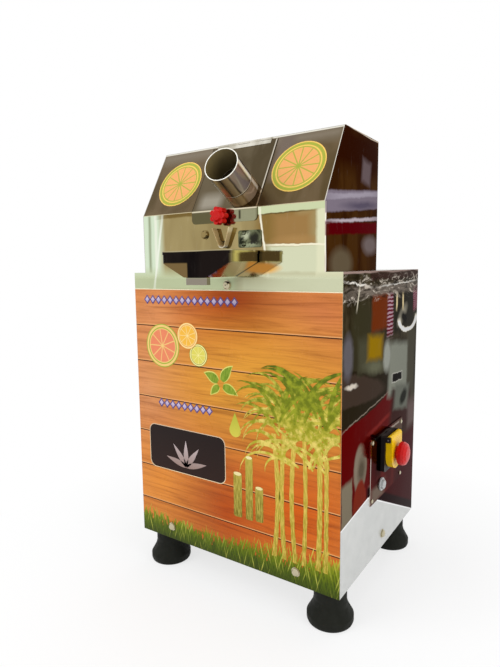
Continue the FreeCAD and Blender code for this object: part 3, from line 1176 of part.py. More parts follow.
def pulley(centre, radius):
    """Grooved pulley on a shaft; a large one has a recessed web between its hub and its rim."""
    half = PULLEY_WIDTH / 2
    rim = radius - GROOVE_DEPTH - PULLEY_RIM
    recessed = rim - PULLEY_HUB_RADIUS > PULLEY_LEAST_RECESS
    front, back = half - PULLEY_WEB / 2, half + PULLEY_WEB / 2
    web = [(PULLEY_HUB_RADIUS, front), (rim, front), (rim, 0)] if recessed else []
    web_back = [(rim, PULLEY_WIDTH), (rim, back), (PULLEY_HUB_RADIUS, back)] if recessed else []
    groove = [(radius, 0), (radius, half - GROOVE_TOP_WIDTH / 2),
              (radius - GROOVE_DEPTH, half - GROOVE_BOTTOM_WIDTH / 2),
              (radius - GROOVE_DEPTH, half + GROOVE_BOTTOM_WIDTH / 2),
              (radius, half + GROOVE_TOP_WIDTH / 2), (radius, PULLEY_WIDTH)]
    hub = [(SHAFT_RADIUS, 0), (PULLEY_HUB_RADIUS, 0)]
    hub_back = [(PULLEY_HUB_RADIUS, PULLEY_WIDTH), (SHAFT_RADIUS, PULLEY_WIDTH)]
    return turned(hub + web + groove + web_back + hub_back, vec(PULLEY_X0, centre[0], centre[1]), RIGHTWARD)


def on_output_axis(x):
    return vec(x, OUTPUT_SHAFT_Y, OUTPUT_SHAFT_Z)


def gearbox_shaft():
    """Output shaft of the gearbox, through its pulley."""
    start = GEARBOX_X1 - OUTPUT_SHAFT_IN_BOX
    end = PULLEY_X0 + PULLEY_WIDTH + GEAR_SHAFT_END
    return rod(on_output_axis(start), RIGHTWARD, SHAFT_RADIUS, end - start)


def gearbox_housing():
    """Cast gearbox on two feet, with a bearing boss and an open seat for the output shaft."""
    y0, y1 = OUTPUT_SHAFT_Y - GEARBOX_HALF_DEPTH, OUTPUT_SHAFT_Y + GEARBOX_HALF_DEPTH
    case = rounded(block(GEARBOX_X0, GEARBOX_X1, y0, y1, SHELF_TOP + GEARBOX_LIFT,
                         OUTPUT_SHAFT_Z + GEARBOX_HALF_HEIGHT - GEARBOX_TOP_CUT), RIGHTWARD, GEARBOX_ROUNDING)
    boss = rod(on_output_axis(GEARBOX_X1 - TOUCH), RIGHTWARD, GEARBOX_BOSS_RADIUS,
               GEARBOX_BOSS_LENGTH + TOUCH)
    feet = [block(GEARBOX_X0 + GEARBOX_FOOT_INSET, GEARBOX_X1 - GEARBOX_FOOT_INSET, y - GEARBOX_FOOT_HALF,
                  y + GEARBOX_FOOT_HALF, SHELF_TOP, SHELF_TOP + GEARBOX_FOOT_HEIGHT)
            for y in (y0 + GEARBOX_FOOT_OVERLAP, y1 - GEARBOX_FOOT_OVERLAP)]
    case = joined([case, boss] + feet)
    return case.cut(bore(on_output_axis(GEARBOX_X1), RIGHTWARD, SHAFT_RADIUS + SHAFT_FIT, GEARBOX_SEAT_DEPTH))


def motor_body():
    """Motor with a flange on the gearbox, cooling fins along its barrel and a pad for its terminals."""
    flange = rod(on_output_axis(GEARBOX_X0 - MOTOR_FLANGE_THICKNESS), RIGHTWARD,
                 MOTOR_RADIUS - MOTOR_FLANGE_CUT, MOTOR_FLANGE_THICKNESS)
    barrel = rod(on_output_axis(MOTOR_X0), RIGHTWARD, MOTOR_RADIUS - MOTOR_BARREL_CUT, MOTOR_LENGTH)
    pieces = [barrel, flange]
    under_terminals = MOTOR_FINS // 4
    for index in range(MOTOR_FINS):
        if index == under_terminals:
            continue
        fin = block(MOTOR_X0 + MOTOR_FIN_INSET, GEARBOX_X0 - MOTOR_FLANGE_THICKNESS - MOTOR_FIN_INSET,
                    -MOTOR_FIN_HALF_THICKNESS, MOTOR_FIN_HALF_THICKNESS, 0, MOTOR_RADIUS - MOTOR_FIN_CUT)
        fin.rotate(vec(0, 0, 0), RIGHTWARD, 360.0 * (index - under_terminals) / MOTOR_FINS)
        fin.translate(on_output_axis(0))
        pieces.append(fin)
    top = OUTPUT_SHAFT_Z + MOTOR_RADIUS
    pieces.append(block(MOTOR_X0 + TERMINAL_PAD_START, MOTOR_X0 + TERMINAL_PAD_START + TERMINAL_PAD_LENGTH,
                        OUTPUT_SHAFT_Y - TERMINAL_PAD_HALF, OUTPUT_SHAFT_Y + TERMINAL_PAD_HALF,
                        top - TERMINAL_PAD_HEIGHT, top))
    return joined(pieces)


def fan_cowl():
    """Cowl over the motor's fan, open in a row of slots at its end."""
    x0 = MOTOR_X0 - COWL_LENGTH + COWL_OVERLAP
    radius = MOTOR_RADIUS - MOTOR_FIN_CUT
    skirt = radius - COWL_WALL - COWL_AIR
    rim = COWL_LENGTH - MOTOR_FIN_CUT
    cowl = turned([(0, 0), (radius - COWL_ROUNDING, 0), (radius, COWL_ROUNDING), (radius, rim), (skirt, rim),
                   (skirt, COWL_ROUNDING), (radius - COWL_ROUNDING - COWL_WALL, COWL_WALL), (0, COWL_WALL)],
                  on_output_axis(x0), RIGHTWARD)
    for row in range(COWL_SLOTS):
        y = OUTPUT_SHAFT_Y + (row - (COWL_SLOTS - 1) / 2) * COWL_SLOT_PITCH
        cowl = cowl.cut(block(x0 - CUT_REACH, x0 + CUT_REACH, y - COWL_SLOT_HALF, y + COWL_SLOT_HALF,
                              OUTPUT_SHAFT_Z - COWL_SLOT_REACH, OUTPUT_SHAFT_Z + COWL_SLOT_REACH))
    return cowl


def terminal_box():
    """Terminal box on the motor's back, with the rim of its lid."""
    x0 = MOTOR_X0 + TERMINAL_PAD_START - (TERMINAL_LENGTH - TERMINAL_PAD_LENGTH) / 2
    z0 = OUTPUT_SHAFT_Z + MOTOR_RADIUS
    z1 = z0 + TERMINAL_HEIGHT
    half = TERMINAL_HALF_DEPTH
    box = rounded(block(x0, x0 + TERMINAL_LENGTH, OUTPUT_SHAFT_Y - half, OUTPUT_SHAFT_Y + half, z0, z1),
                  UPWARD, TERMINAL_ROUNDING)
    rim = rounded(block(x0 - TERMINAL_LID_RIM, x0 + TERMINAL_LENGTH + TERMINAL_LID_RIM,
                        OUTPUT_SHAFT_Y - half - TERMINAL_LID_RIM, OUTPUT_SHAFT_Y + half + TERMINAL_LID_RIM,
                        z1 - TERMINAL_LID_BELOW, z1 - TERMINAL_LID_BELOW + TERMINAL_LID_THICKNESS),
                  UPWARD, TERMINAL_ROUNDING)
    return joined([box, rim])


# ---------------------------------------------------------------- feet and fasteners
def rubber_feet():
    """Four bell-shaped rubber feet, hollow below for their bolts."""
    neck, flare, height = FOOT_NECK_RADIUS, FOOT_FLARE_RADIUS, FOOT_HEIGHT
    profile = [(FOOT_BOLT_RADIUS, 0), (neck, 0), (neck, -0.42 * height), (1.08 * neck, -0.55 * height),
               (0.92 * flare, -0.72 * height), (flare, -0.8 * height), (flare, -0.93 * height),
               (flare - FOOT_TREAD_EDGE / 3, -0.98 * height), (flare - FOOT_TREAD_EDGE, -height),
               (FOOT_RECESS_RADIUS, -height), (FOOT_RECESS_RADIUS, -FOOT_WEB), (FOOT_BOLT_RADIUS, -FOOT_WEB)]
    return [turned(profile, vec(x, y, 0), UPWARD) for x, y in FOOT_CENTRES]


def foot_bolts():
    """Foot bolts with their heads in the recess and a nut on the base pan."""
    head_z = -FOOT_WEB - FOOT_BOLT_HEAD_HEIGHT
    nut = FOOT_BOLT_RADIUS + FOOT_NUT_RIM
    nut_z = SHEET + FOOT_NUT_HEIGHT
    profile = [(0, head_z), (FOOT_BOLT_HEAD_RADIUS, head_z), (FOOT_BOLT_HEAD_RADIUS, -FOOT_WEB),
               (FOOT_BOLT_RADIUS, -FOOT_WEB), (FOOT_BOLT_RADIUS, SHEET), (nut, SHEET), (nut, nut_z),
               (FOOT_BOLT_RADIUS, nut_z), (FOOT_BOLT_RADIUS, nut_z + FOOT_BOLT_END),
               (0, nut_z + FOOT_BOLT_END)]
    return [turned(profile, vec(x, y, 0), UPWARD) for x, y in FOOT_CENTRES]


def panel_bolts():
    """Every domed bolt on the casing."""
    bolts = [cap_bolt(vec(x, -PRINT_THICKNESS, z), FORWARD) for x, z in (LEFT_BOLT, RIGHT_BOLT)]
    bolts += [cap_bolt(vec(x, 0, z), FORWARD) for x, z in (TOP_BOLT, HEAD_BOLT)]
    bolts += [cap_bolt(vec(side * HALF_WIDTH, SIDE_BOLT_Y, SIDE_BOLT_Z), vec(side, 0, 0)) for side in (-1, 1)]
    return bolts


def access_screw_heights():
    return (ACCESS_PLATE_Z + ACCESS_SCREW_BELOW, ACCESS_PLATE_Z + ACCESS_PLATE_HEIGHT - ACCESS_SCREW_ABOVE)


def access_plate():
    """Small cover plate beside the spout with its two screws."""
    x = ACCESS_PLATE_X + ACCESS_SCREW_INSET
    plate = block(ACCESS_PLATE_X, ACCESS_PLATE_X + ACCESS_PLATE_WIDTH, -ACCESS_PLATE_THICKNESS, 0,
                  ACCESS_PLATE_Z, ACCESS_PLATE_Z + ACCESS_PLATE_HEIGHT)
    plate = rounded(plate, REARWARD, ACCESS_PLATE_CORNER)
    for z in access_screw_heights():
        plate = plate.cut(screw_hole(vec(x, 0, z), REARWARD))
    return [plate] + [pan_screw(vec(x, -ACCESS_PLATE_THICKNESS, z), FORWARD) for z in access_screw_heights()]


# ---------------------------------------------------------------- controls on the right side
def plate_screw_places():
    return [(y, z) for y in (PLATE_Y + PLATE_SCREW_INSET, PLATE_Y + PLATE_LENGTH - PLATE_SCREW_INSET)
            for z in (PLATE_Z + PLATE_SCREW_INSET, PLATE_Z + PLATE_HEIGHT - PLATE_SCREW_INSET)]


def control_plate():
    """Plate that carries the switch and the push button, screwed over the side sheet's cut-out."""
    plate = block(HALF_WIDTH, PLATE_FACE, PLATE_Y, PLATE_Y + PLATE_LENGTH, PLATE_Z, PLATE_Z + PLATE_HEIGHT)
    plate = rounded(plate, RIGHTWARD, PLATE_CORNER)
    plate = plate.cut(switch_body_block(SHAFT_FIT))
    plate = plate.cut(bore(vec(HALF_WIDTH, RESET_Y, RESET_Z), RIGHTWARD, RESET_RADIUS + RESET_BARREL_WALL))
    for y, z in plate_screw_places():
        plate = plate.cut(screw_hole(vec(HALF_WIDTH, y, z), RIGHTWARD))
    return plate


def plate_screws():
    return [pan_screw(vec(PLATE_FACE, y, z), RIGHTWARD) for y, z in plate_screw_places()]


def switch_body_block(grow):
    """The part of the switch that goes through the control plate."""
    half = SWITCH_HALF_WIDTH - SWITCH_BODY_MARGIN + grow
    return block(PLATE_FACE - SWITCH_BODY_DEPTH, PLATE_FACE + TOUCH, SWITCH_Y - half, SWITCH_Y + half,
                 SWITCH_BOTTOM + SWITCH_BODY_MARGIN - grow, SWITCH_TOP - SWITCH_BODY_MARGIN + grow)


def on_switch_axis(x):
    return vec(x, SWITCH_Y, SWITCH_Z)


def cover_pin(radius, reach):
    """Rod on the flip cover's hinge axis, reaching the same way to both sides of the switch."""
    return bore(vec(COVER_PIN_X, SWITCH_Y, COVER_PIN_Z), REARWARD, radius, reach)


def switch_base():
    """Switch case with a raised rim, two hinge ears and the seats of its buttons."""
    rim = block(PLATE_FACE, PLATE_FACE + SWITCH_BASE_HEIGHT, SWITCH_Y - SWITCH_HALF_WIDTH,
                SWITCH_Y + SWITCH_HALF_WIDTH, SWITCH_BOTTOM, SWITCH_TOP)
    rim = rounded(rim, RIGHTWARD, SWITCH_ROUNDING)
    ears = []
    for side in (-1, 1):
        near, far = span(side, SWITCH_HALF_WIDTH, SWITCH_HALF_WIDTH - SWITCH_EAR)
        ears.append(block(PLATE_FACE, COVER_PIN_X + SWITCH_EAR_FRONT, SWITCH_Y + near, SWITCH_Y + far,
                          COVER_PIN_Z - SWITCH_EAR, COVER_PIN_Z + SWITCH_EAR))
    body = joined([rim, switch_body_block(0)] + ears)
    well = on_switch_axis(PLATE_FACE + SWITCH_BASE_HEIGHT - SWITCH_WELL_DEPTH)
    seat = on_switch_axis(PLATE_FACE - SWITCH_SEAT_DEPTH)
    body = body.cut(rod(well, RIGHTWARD, START_RADIUS + SWITCH_WELL_RIM, FAR))
    body = body.cut(rod(seat, RIGHTWARD, START_RADIUS + SHAFT_FIT, FAR))
    return body.cut(cover_pin(COVER_PIN_RADIUS, FAR))


def start_button():
    """Start button at the bottom of the switch's well, under the cover."""
    back = PLATE_FACE - SWITCH_SEAT_DEPTH + START_TRAVEL + START_CLEARANCE
    front = PLATE_FACE + SWITCH_BASE_HEIGHT - START_CLEARANCE
    return rod(on_switch_axis(back), RIGHTWARD, START_RADIUS, front - back)


def switch_cover():
    """Flip cover with a round lower end, hinged at its top, with a bore for the mushroom's stem."""
    half = SWITCH_HALF_WIDTH - SWITCH_EAR - COVER_GAP
    round_half = MUSHROOM_RADIUS + COVER_ROUND_MARGIN
    top = block(COVER_BACK, COVER_BACK + COVER_THICKNESS, SWITCH_Y - half, SWITCH_Y + half,
                SWITCH_Z + COVER_OVERLAP, SWITCH_TOP)
    top = rounded(top, REARWARD, COVER_THICKNESS / 2 - BOLT_HOLE_CLEARANCE,
                  lambda p: p.z > SWITCH_TOP - TOUCH)
    cover = joined([top, rod(on_switch_axis(COVER_BACK), RIGHTWARD, round_half, COVER_THICKNESS)])
    cover = cover.cut(bore(on_switch_axis(COVER_BACK), RIGHTWARD, round_half - COVER_WALL,
                           COVER_THICKNESS - COVER_FACE))
    cover = cover.cut(bore(on_switch_axis(COVER_BACK), RIGHTWARD, MUSHROOM_STEM_RADIUS + SHAFT_FIT, FAR))
    return cover.cut(cover_pin(COVER_PIN_RADIUS + SHAFT_FIT, FAR))


def switch_pin():
    return cover_pin(COVER_PIN_RADIUS, SWITCH_HALF_WIDTH)


def stop_button():
    """Red mushroom button in the cover; its stem reaches toward the start button."""
    stem_back = COVER_BACK + MUSHROOM_TRAVEL + STEM_CLEARANCE
    cap = COVER_BACK + COVER_THICKNESS + MUSHROOM_TRAVEL + MUSHROOM_AIR
    radius, height = MUSHROOM_RADIUS, MUSHROOM_HEIGHT
    profile = [(0, stem_back), (MUSHROOM_STEM_RADIUS, stem_back), (MUSHROOM_STEM_RADIUS, cap),
               (radius - MUSHROOM_EDGE, cap), (radius, cap + MUSHROOM_EDGE), (radius, cap + 0.45 * height),
               (radius - MUSHROOM_EDGE, cap + 0.72 * height), (0.6 * radius, cap + 0.93 * height),
               (0, cap + height)]
    return turned(profile, vec(0, SWITCH_Y, SWITCH_Z), RIGHTWARD)


def reset_button():
    """Round push button in its collar's bore."""
    front = PLATE_FACE + RESET_COLLAR_HEIGHT + RESET_TRAVEL + RESET_PROUD
    edge = front - RESET_EDGE
    back = PLATE_FACE - RESET_INSIDE
    profile = [(0, back), (RESET_RADIUS, back), (RESET_RADIUS, edge), (RESET_RADIUS - RESET_EDGE, front),
               (0, front)]
    return turned(profile, vec(0, RESET_Y, RESET_Z), RIGHTWARD)


def reset_collar():
    """Threaded collar that holds the push button in the control plate."""
    inner = RESET_RADIUS + SHAFT_FIT
    barrel = RESET_RADIUS + RESET_BARREL_WALL
    back = PLATE_FACE - RESET_BARREL_LENGTH
    front = PLATE_FACE + RESET_COLLAR_HEIGHT
    rim = RESET_COLLAR_RADIUS
    profile = [(inner, back), (barrel, back), (barrel, PLATE_FACE), (rim, PLATE_FACE),
               (rim, front - RESET_COLLAR_EDGE), (rim - RESET_COLLAR_EDGE, front), (inner, front)]
    return turned(profile, vec(0, RESET_Y, RESET_Z), RIGHTWARD)


def cable_gland():
    """Cable gland in the rear sheet, with its nut and a clear bore."""
    thread, flange = GLAND_THREAD, GLAND_THREAD + GLAND_FLANGE
    profile = [(GLAND_BORE, -GLAND_INSIDE), (thread, -GLAND_INSIDE), (thread, -SHEET - GLAND_NUT),
               (flange, -SHEET - GLAND_NUT), (flange, -SHEET), (thread, -SHEET), (thread, 0), (flange, 0),
               (flange, 8), (flange - 2, 10), (thread + 1, 20), (GLAND_BORE + 1, 23), (GLAND_BORE, 23)]
    return turned(profile, vec(GLAND_X, CABINET_DEPTH, GLAND_Z), REARWARD)


# ---------------------------------------------------------------- the assembly
def assembly():
    """Every node of the machine by name."""
    right_end = BEARING_OUTER_X + SHAFT_END
    pulley_end = PULLEY_X0 + PULLEY_WIDTH + GEAR_SHAFT_END
    return {
        "base_pan": base_pan(), "inner_frame": inner_frame(), "front_panel": front_panel(),
        "front_print": front_print(), "left_side_panel": side_panel(-1), "right_side_panel": side_panel(1),
        "rear_panel": rear_panel(), "top_deck": top_deck(),
        "head_front": head_front(), "hood_panel": hood_panel(), "head_top": head_top(),
        "head_rear": head_rear(), "head_left_cheek": head_cheek(-1), "head_right_cheek": head_cheek(1),
        "feed_door": feed_door(), "feed_tube": feed_tube(), "hinge_door_leaf": hinge_door_leaf(),
        "hinge_fixed_leaf": hinge_fixed_leaf(), "hinge_pin": hinge_pin(), "door_knob": door_knob(),
        "knob_stud": knob_stud(),
        "juice_spout": juice_spout(), "juice_pan": juice_pan(), "juice_tray": juice_tray(),
        "tray_strainer": tray_strainer(), "tray_pins": tray_pins(),
        "top_roller": crushing_roller(0, right_end), "front_roller": crushing_roller(1, right_end),
        "rear_roller": crushing_roller(2, pulley_end),
        "top_gear": roller_gear(0), "front_gear": roller_gear(1), "rear_gear": roller_gear(2),
        "roller_plates": [roller_plate(-1), roller_plate(1)],
        "tie_bars": tie_bars(), "roller_bearings": roller_bearings(), "scrapers": scrapers(),
        "feed_chute": feed_chute(), "waste_chute": waste_chute(),
        "drive_belt": drive_belt(), "roller_pulley": pulley(REAR_ROLLER, ROLLER_PULLEY_RADIUS),
        "output_pulley": pulley((OUTPUT_SHAFT_Y, OUTPUT_SHAFT_Z), OUTPUT_PULLEY_RADIUS),
        "output_shaft": gearbox_shaft(), "gearbox_housing": gearbox_housing(), "motor_body": motor_body(),
        "fan_cowl": fan_cowl(), "terminal_box": terminal_box(), "cable_gland": cable_gland(),
        "rubber_feet": rubber_feet(), "foot_bolts": foot_bolts(), "panel_bolts": panel_bolts(),
        "access_plate": access_plate(), "control_plate": control_plate(), "plate_screws": plate_screws(),
        "switch_base": switch_base(), "switch_cover": switch_cover(), "switch_pin": switch_pin(),
        "start_button": start_button(), "stop_button": stop_button(), "reset_button": reset_button(),
        "reset_collar": reset_collar(),
    }


def as_shape(piece):
    return Part.makeCompound(piece) if isinstance(piece, list) else piece


def main():
    os.makedirs("parts", exist_ok=True)
    nodes = {name: as_shape(piece) for name, piece in assembly().items()}
    whole = Part.makeCompound(list(nodes.values())).BoundBox
    origin = vec(-(whole.XMin + whole.XMax) / 2, -(whole.YMin + whole.YMax) / 2, FOOT_HEIGHT)
    print("origin shift", [round(value, 4) for value in origin])
    for name, shape in nodes.items():
        shape.translate(origin)
        shape.exportStep(os.path.join("parts", name + ".step"))
        box = shape.BoundBox
        print(f"{name:18s} solids {len(shape.Solids)} valid {shape.isValid()} "
              f"size {box.XLength:.1f} x {box.YLength:.1f} x {box.ZLength:.1f}")
    print(len(nodes), "nodes")
    return origin


ORIGIN = main()
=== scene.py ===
# %% [markdown]
# # A sugarcane juicer with an electric drive
# The machine is a cabinet of bright stainless sheet on four rubber feet. Its head holds three fluted
# rollers behind a hinged door with a feed tube, and the juice runs down a spout into a small tray.
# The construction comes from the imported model, which is loaded here as a fixed frame. Everything below
# gives those parts their finish and adds the one thing with no thickness worth modelling in CAD: the
# films of printed ink.

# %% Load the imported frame
import bpy
import bmesh
import math
import random
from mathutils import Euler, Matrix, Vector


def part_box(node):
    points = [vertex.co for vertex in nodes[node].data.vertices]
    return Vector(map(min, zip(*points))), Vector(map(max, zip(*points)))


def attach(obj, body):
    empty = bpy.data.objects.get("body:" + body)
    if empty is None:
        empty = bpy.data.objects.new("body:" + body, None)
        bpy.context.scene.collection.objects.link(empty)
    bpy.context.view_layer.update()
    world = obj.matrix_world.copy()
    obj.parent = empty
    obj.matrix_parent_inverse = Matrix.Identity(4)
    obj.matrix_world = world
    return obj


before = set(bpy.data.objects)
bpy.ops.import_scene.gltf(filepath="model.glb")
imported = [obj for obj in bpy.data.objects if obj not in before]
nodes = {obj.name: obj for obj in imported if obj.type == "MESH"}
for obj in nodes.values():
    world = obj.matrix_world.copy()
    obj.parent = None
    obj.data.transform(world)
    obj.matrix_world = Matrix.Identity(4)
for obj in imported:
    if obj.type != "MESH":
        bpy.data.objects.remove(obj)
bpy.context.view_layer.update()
MM = 0.001


def corners(node):
    """Lowest and highest corner of a CAD node as vectors."""
    low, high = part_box(node)
    return Vector(low), Vector(high)


# %% [markdown]
# ## Places on the machine
# A maker measures from the lower edge of the cabinet's front sheet: x to the right from its middle, y to
# the rear and z up, all in millimetres. Every finish and every label below is placed in those numbers,
# so it stays on its sheet when the model's origin moves.

# %% Places
front_low, front_high = corners("front_panel")
DATUM = Vector(((front_low.x + front_high.x) / 2, front_low.y, front_low.z))
HALF_WIDTH = (front_high.x - front_low.x) / 2 / MM
DECK = (front_high.z - front_low.z) / MM
KINK = (corners("hood_panel")[0].z - DATUM.z) / MM
RIDGE = (corners("head_top")[1].z - DATUM.z) / MM
RIDGE_BACK = (corners("head_top")[0].y - DATUM.y) / MM
PRINT_FACE = (corners("front_print")[0].y - DATUM.y) / MM
HEAD_HALF = (corners("head_right_cheek")[1].x - DATUM.x) / MM
SLOPE = Vector((0, RIDGE_BACK, RIDGE - KINK)).normalized()
OUTWARD = Vector((0, -SLOPE.z, SLOPE.y))


def spot(x, y, z):
    """A place in the maker's millimetres as a point of the model."""
    return DATUM + Vector((x, y, z)) * MM


for label, measure in (("half width", HALF_WIDTH), ("deck", DECK), ("kink", KINK), ("ridge", RIDGE)):
    print(label, round(measure, 1))


# %% [markdown]
# ## The camera
# A camera is placed by where it stands and how it is turned. This one stands a little right of the
# machine's front, level with its head, and looks slightly down. The lens is given in millimetres for
# a 36 mm film side, and the image is 500 by 667 pixels, so the tall side is the 36 mm one.

# %% Camera
CAMERA_PLACE = spot(564.9, -758.8, 562.7)
CAMERA_TURN = (82.699, 0.673, 33.888)
CAMERA_LENS = 28.06

camera_data = bpy.data.cameras.new("camera")
camera_data.lens = CAMERA_LENS
camera_data.sensor_width = 36.0
camera_data.sensor_fit = "AUTO"
camera_data.clip_start = 0.02
camera = bpy.data.objects.new("camera", camera_data)
camera.location = CAMERA_PLACE
camera.rotation_euler = Euler([math.radians(a) for a in CAMERA_TURN], "XYZ")
bpy.context.scene.collection.objects.link(camera)
bpy.context.scene.camera = camera
bpy.context.scene.view_settings.view_transform = "Standard"
print("camera at", tuple(round(part, 4) for part in CAMERA_PLACE))


# %% [markdown]
# ## Helpers for finishes
# A finish is a small tree of shader nodes. Colours are written here as they look on screen (0 to 255)
# and turned into the linear values that the shader works in. Each helper adds one node and hands back
# its output, so a finish further down reads like a recipe.

# %% Finish helpers
def ink(red, green, blue):
    """A screen colour as the linear colour that the shader wants."""
    def linear(value):
        value = value / 255.0
        return value / 12.92 if value <= 0.04045 else ((value + 0.055) / 1.055) ** 2.4
    return (linear(red), linear(green), linear(blue), 1.0)


LADDER_TURNS = 34.0            # radians of the wave over half a ladder's height
ARC_RADIUS = 0.88              # a hanging arc's line, as a share of the form's half size
ARC_HALF_LINE = 0.1            # half the width of that line
ARC_END = 0.15                 # the arc fades out this far either side of its middle height


class Finish:
    """A material being mixed: holds its node tree and the Principled shader."""

    def __init__(self, name, colour, rough=0.5, metal=0.0, gloss=0.5):
        self.material = bpy.data.materials.new(name)
        self.material.use_nodes = True
        self.tree = self.material.node_tree
        self.shader = self.tree.nodes["Principled BSDF"]
        self.shader.inputs["Base Color"].default_value = colour
        self.shader.inputs["Roughness"].default_value = rough
        self.shader.inputs["Metallic"].default_value = metal
        self.shader.inputs["Specular IOR Level"].default_value = gloss
        self.place = self.tree.nodes.new("ShaderNodeTexCoord").outputs["Object"]
        self.material.diffuse_color = colour

    def link(self, source, target):
        """Join a node's output to an input."""
        self.tree.links.new(source, target)

    def set(self, socket, value):
        """Let a node's output drive one of the shader's sockets."""
        self.link(value, self.shader.inputs[socket])

    def stretched(self, scale):
        """The surface's place drawn out or squeezed along x, y and z."""
        node = self.tree.nodes.new("ShaderNodeMapping")
        node.inputs["Scale"].default_value = scale
        self.link(self.place, node.inputs["Vector"])
        return node.outputs["Vector"]

    def noise(self, scale, detail=3.0, rough=0.55, place=None, twist=0.0):
        """A cloudy value round 0.5, for grain, haze and drift."""
        node = self.tree.nodes.new("ShaderNodeTexNoise")
        node.inputs["Scale"].default_value = scale
        node.inputs["Detail"].default_value = detail
        node.inputs["Roughness"].default_value = rough
        node.inputs["Distortion"].default_value = twist
        self.link(place or self.place, node.inputs["Vector"])
        return node.outputs["Fac"]

    def ramp(self, value, stops, smooth=False):
        """Colours along a value: stops is a list of (position, colour)."""
        node = self.tree.nodes.new("ShaderNodeValToRGB")
        node.color_ramp.interpolation = "EASE" if smooth else "LINEAR"
        elements = node.color_ramp.elements
        for element, (position, colour) in zip(elements, stops[:2]):
            element.position = position
            element.color = colour
        for position, colour in stops[2:]:
            elements.new(position).color = colour
        self.link(value, node.inputs["Fac"])
        return node.outputs["Color"]

    def span(self, value, low, high, to_low=0.0, to_high=1.0):
        """Map a value from one span to another, clamped."""
        node = self.tree.nodes.new("ShaderNodeMapRange")
        limits = (("From Min", low), ("From Max", high), ("To Min", to_low), ("To Max", to_high))
        for socket, number in limits:
            node.inputs[socket].default_value = number
        self.link(value, node.inputs["Value"])
        return node.outputs["Result"]

    def maths(self, operation, first, second=None, third=None):
        """One sum on values; each may be a number or a node's output."""
        node = self.tree.nodes.new("ShaderNodeMath")
        node.operation = operation
        for socket, value in zip(node.inputs, (first, second, third)):
            if value is None:
                continue
            if isinstance(value, (int, float)):
                socket.default_value = value
            else:
                self.link(value, socket)
        return node.outputs["Value"]

    def mix(self, amount, first, second, blend="MIX"):
        """Blend two colours; either may be a fixed colour or a node's output."""
        node = self.tree.nodes.new("ShaderNodeMix")
        node.data_type = "RGBA"
        node.blend_type = blend
        for socket, value in ((node.inputs[0], amount), (node.inputs[6], first), (node.inputs[7], second)):
            if isinstance(value, (int, float, tuple)):
                socket.default_value = value
            else:
                self.link(value, socket)
        return node.outputs[2]

    def vector(self, operation, first, second):
        """One sum on a vector, with a fixed vector or, for SCALE, a number."""
        node = self.tree.nodes.new("ShaderNodeVectorMath")
        node.operation = operation
        self.link(first, node.inputs[0])
        node.inputs[3 if operation == "SCALE" else 1].default_value = second
        return node.outputs["Value" if operation == "DOT_PRODUCT" else "Vector"]

    def ruler(self, origin=None):
        """x, y and z of the surface in millimetres from an origin of the model."""
        moved = self.vector("SUBTRACT", self.place, origin or DATUM)
        node = self.tree.nodes.new("ShaderNodeSeparateXYZ")
        self.link(self.vector("SCALE", moved, 1 / MM), node.inputs["Vector"])
        return node.outputs["X"], node.outputs["Y"], node.outputs["Z"]

    def within(self, value, low, high, soft):
        """1 between low and high, fading to 0 over soft on each side."""
        rise = self.span(value, low - soft, low + soft)
        return self.maths("MULTIPLY", rise, self.span(value, high - soft, high + soft, 1.0, 0.0))

    def wavy(self, value, reach, scale, place=None):
        """A coordinate that wanders by reach, so that what is painted along it gets a living edge."""
        drift = self.maths("SUBTRACT", self.noise(scale, 2.0, 0.5, place), 0.5)
        return self.maths("MULTIPLY_ADD", drift, 2 * reach, value)

    def patches(self, colour, reach, scale, zones):
        """Paint soft-edged tones over a colour. A zone is (tone, x range, y range, z range, softness)."""
        rulers = [self.wavy(ruler, reach, scale) for ruler in self.ruler()]
        for tone, *ranges, soft in zones:
            mask = None
            for ruler, limits in zip(rulers, ranges):
                if limits is None:
                    continue
                part = self.within(ruler, limits[0], limits[1], soft)
                mask = part if mask is None else self.maths("MULTIPLY", mask, part)
            colour = self.mix(mask, colour, tone)
        return colour

    def form(self, kind, place, soft):
        """1 inside a form of unit half size, fading to 0 over soft: oval, box, ladder or hanging arc."""
        node = self.tree.nodes.new("ShaderNodeVectorMath")
        node.operation = "LENGTH"
        self.link(place, node.inputs[0])
        if kind == "oval":
            return self.span(node.outputs["Value"], 1 - soft, 1 + soft, 1.0, 0.0)
        split = self.tree.nodes.new("ShaderNodeSeparateXYZ")
        self.link(place, split.inputs["Vector"])
        across, up = split.outputs["X"], split.outputs["Y"]
        if kind == "arc":
            off_ring = self.maths("ABSOLUTE", self.maths("SUBTRACT", node.outputs["Value"], ARC_RADIUS))
            band = self.span(off_ring, ARC_HALF_LINE, ARC_HALF_LINE + soft, 1.0, 0.0)
            return self.maths("MULTIPLY", band, self.span(up, -ARC_END, ARC_END, 1.0, 0.0))
        edge = self.maths("MAXIMUM", self.maths("ABSOLUTE", across), self.maths("ABSOLUTE", up))
        mask = self.span(edge, 1 - soft, 1 + soft, 1.0, 0.0)
        if kind == "box":
            return mask
        rungs = self.maths("SINE", self.maths("MULTIPLY", up, LADDER_TURNS))
        return self.maths("MULTIPLY", mask, self.span(rungs, -0.2, 0.4))

    def mirrored(self, colour, across, up, things):
        """Paint what a sheet mirrors: (tone, form, middle, half size, turn in degrees, softness)."""
        flat = self.tree.nodes.new("ShaderNodeCombineXYZ")
        self.link(across, flat.inputs["X"])
        self.link(up, flat.inputs["Y"])
        for tone, kind, middle, half, turn, soft in things:
            placed = self.tree.nodes.new("ShaderNodeMapping")
            placed.vector_type = "TEXTURE"
            placed.inputs["Location"].default_value = (middle[0], middle[1], 0)
            placed.inputs["Rotation"].default_value = (0, 0, math.radians(turn))
            placed.inputs["Scale"].default_value = (half[0], half[1], 1)
            self.link(flat.outputs["Vector"], placed.inputs["Vector"])
            colour = self.mix(self.form(kind, placed.outputs["Vector"], soft), colour, tone)
        return colour

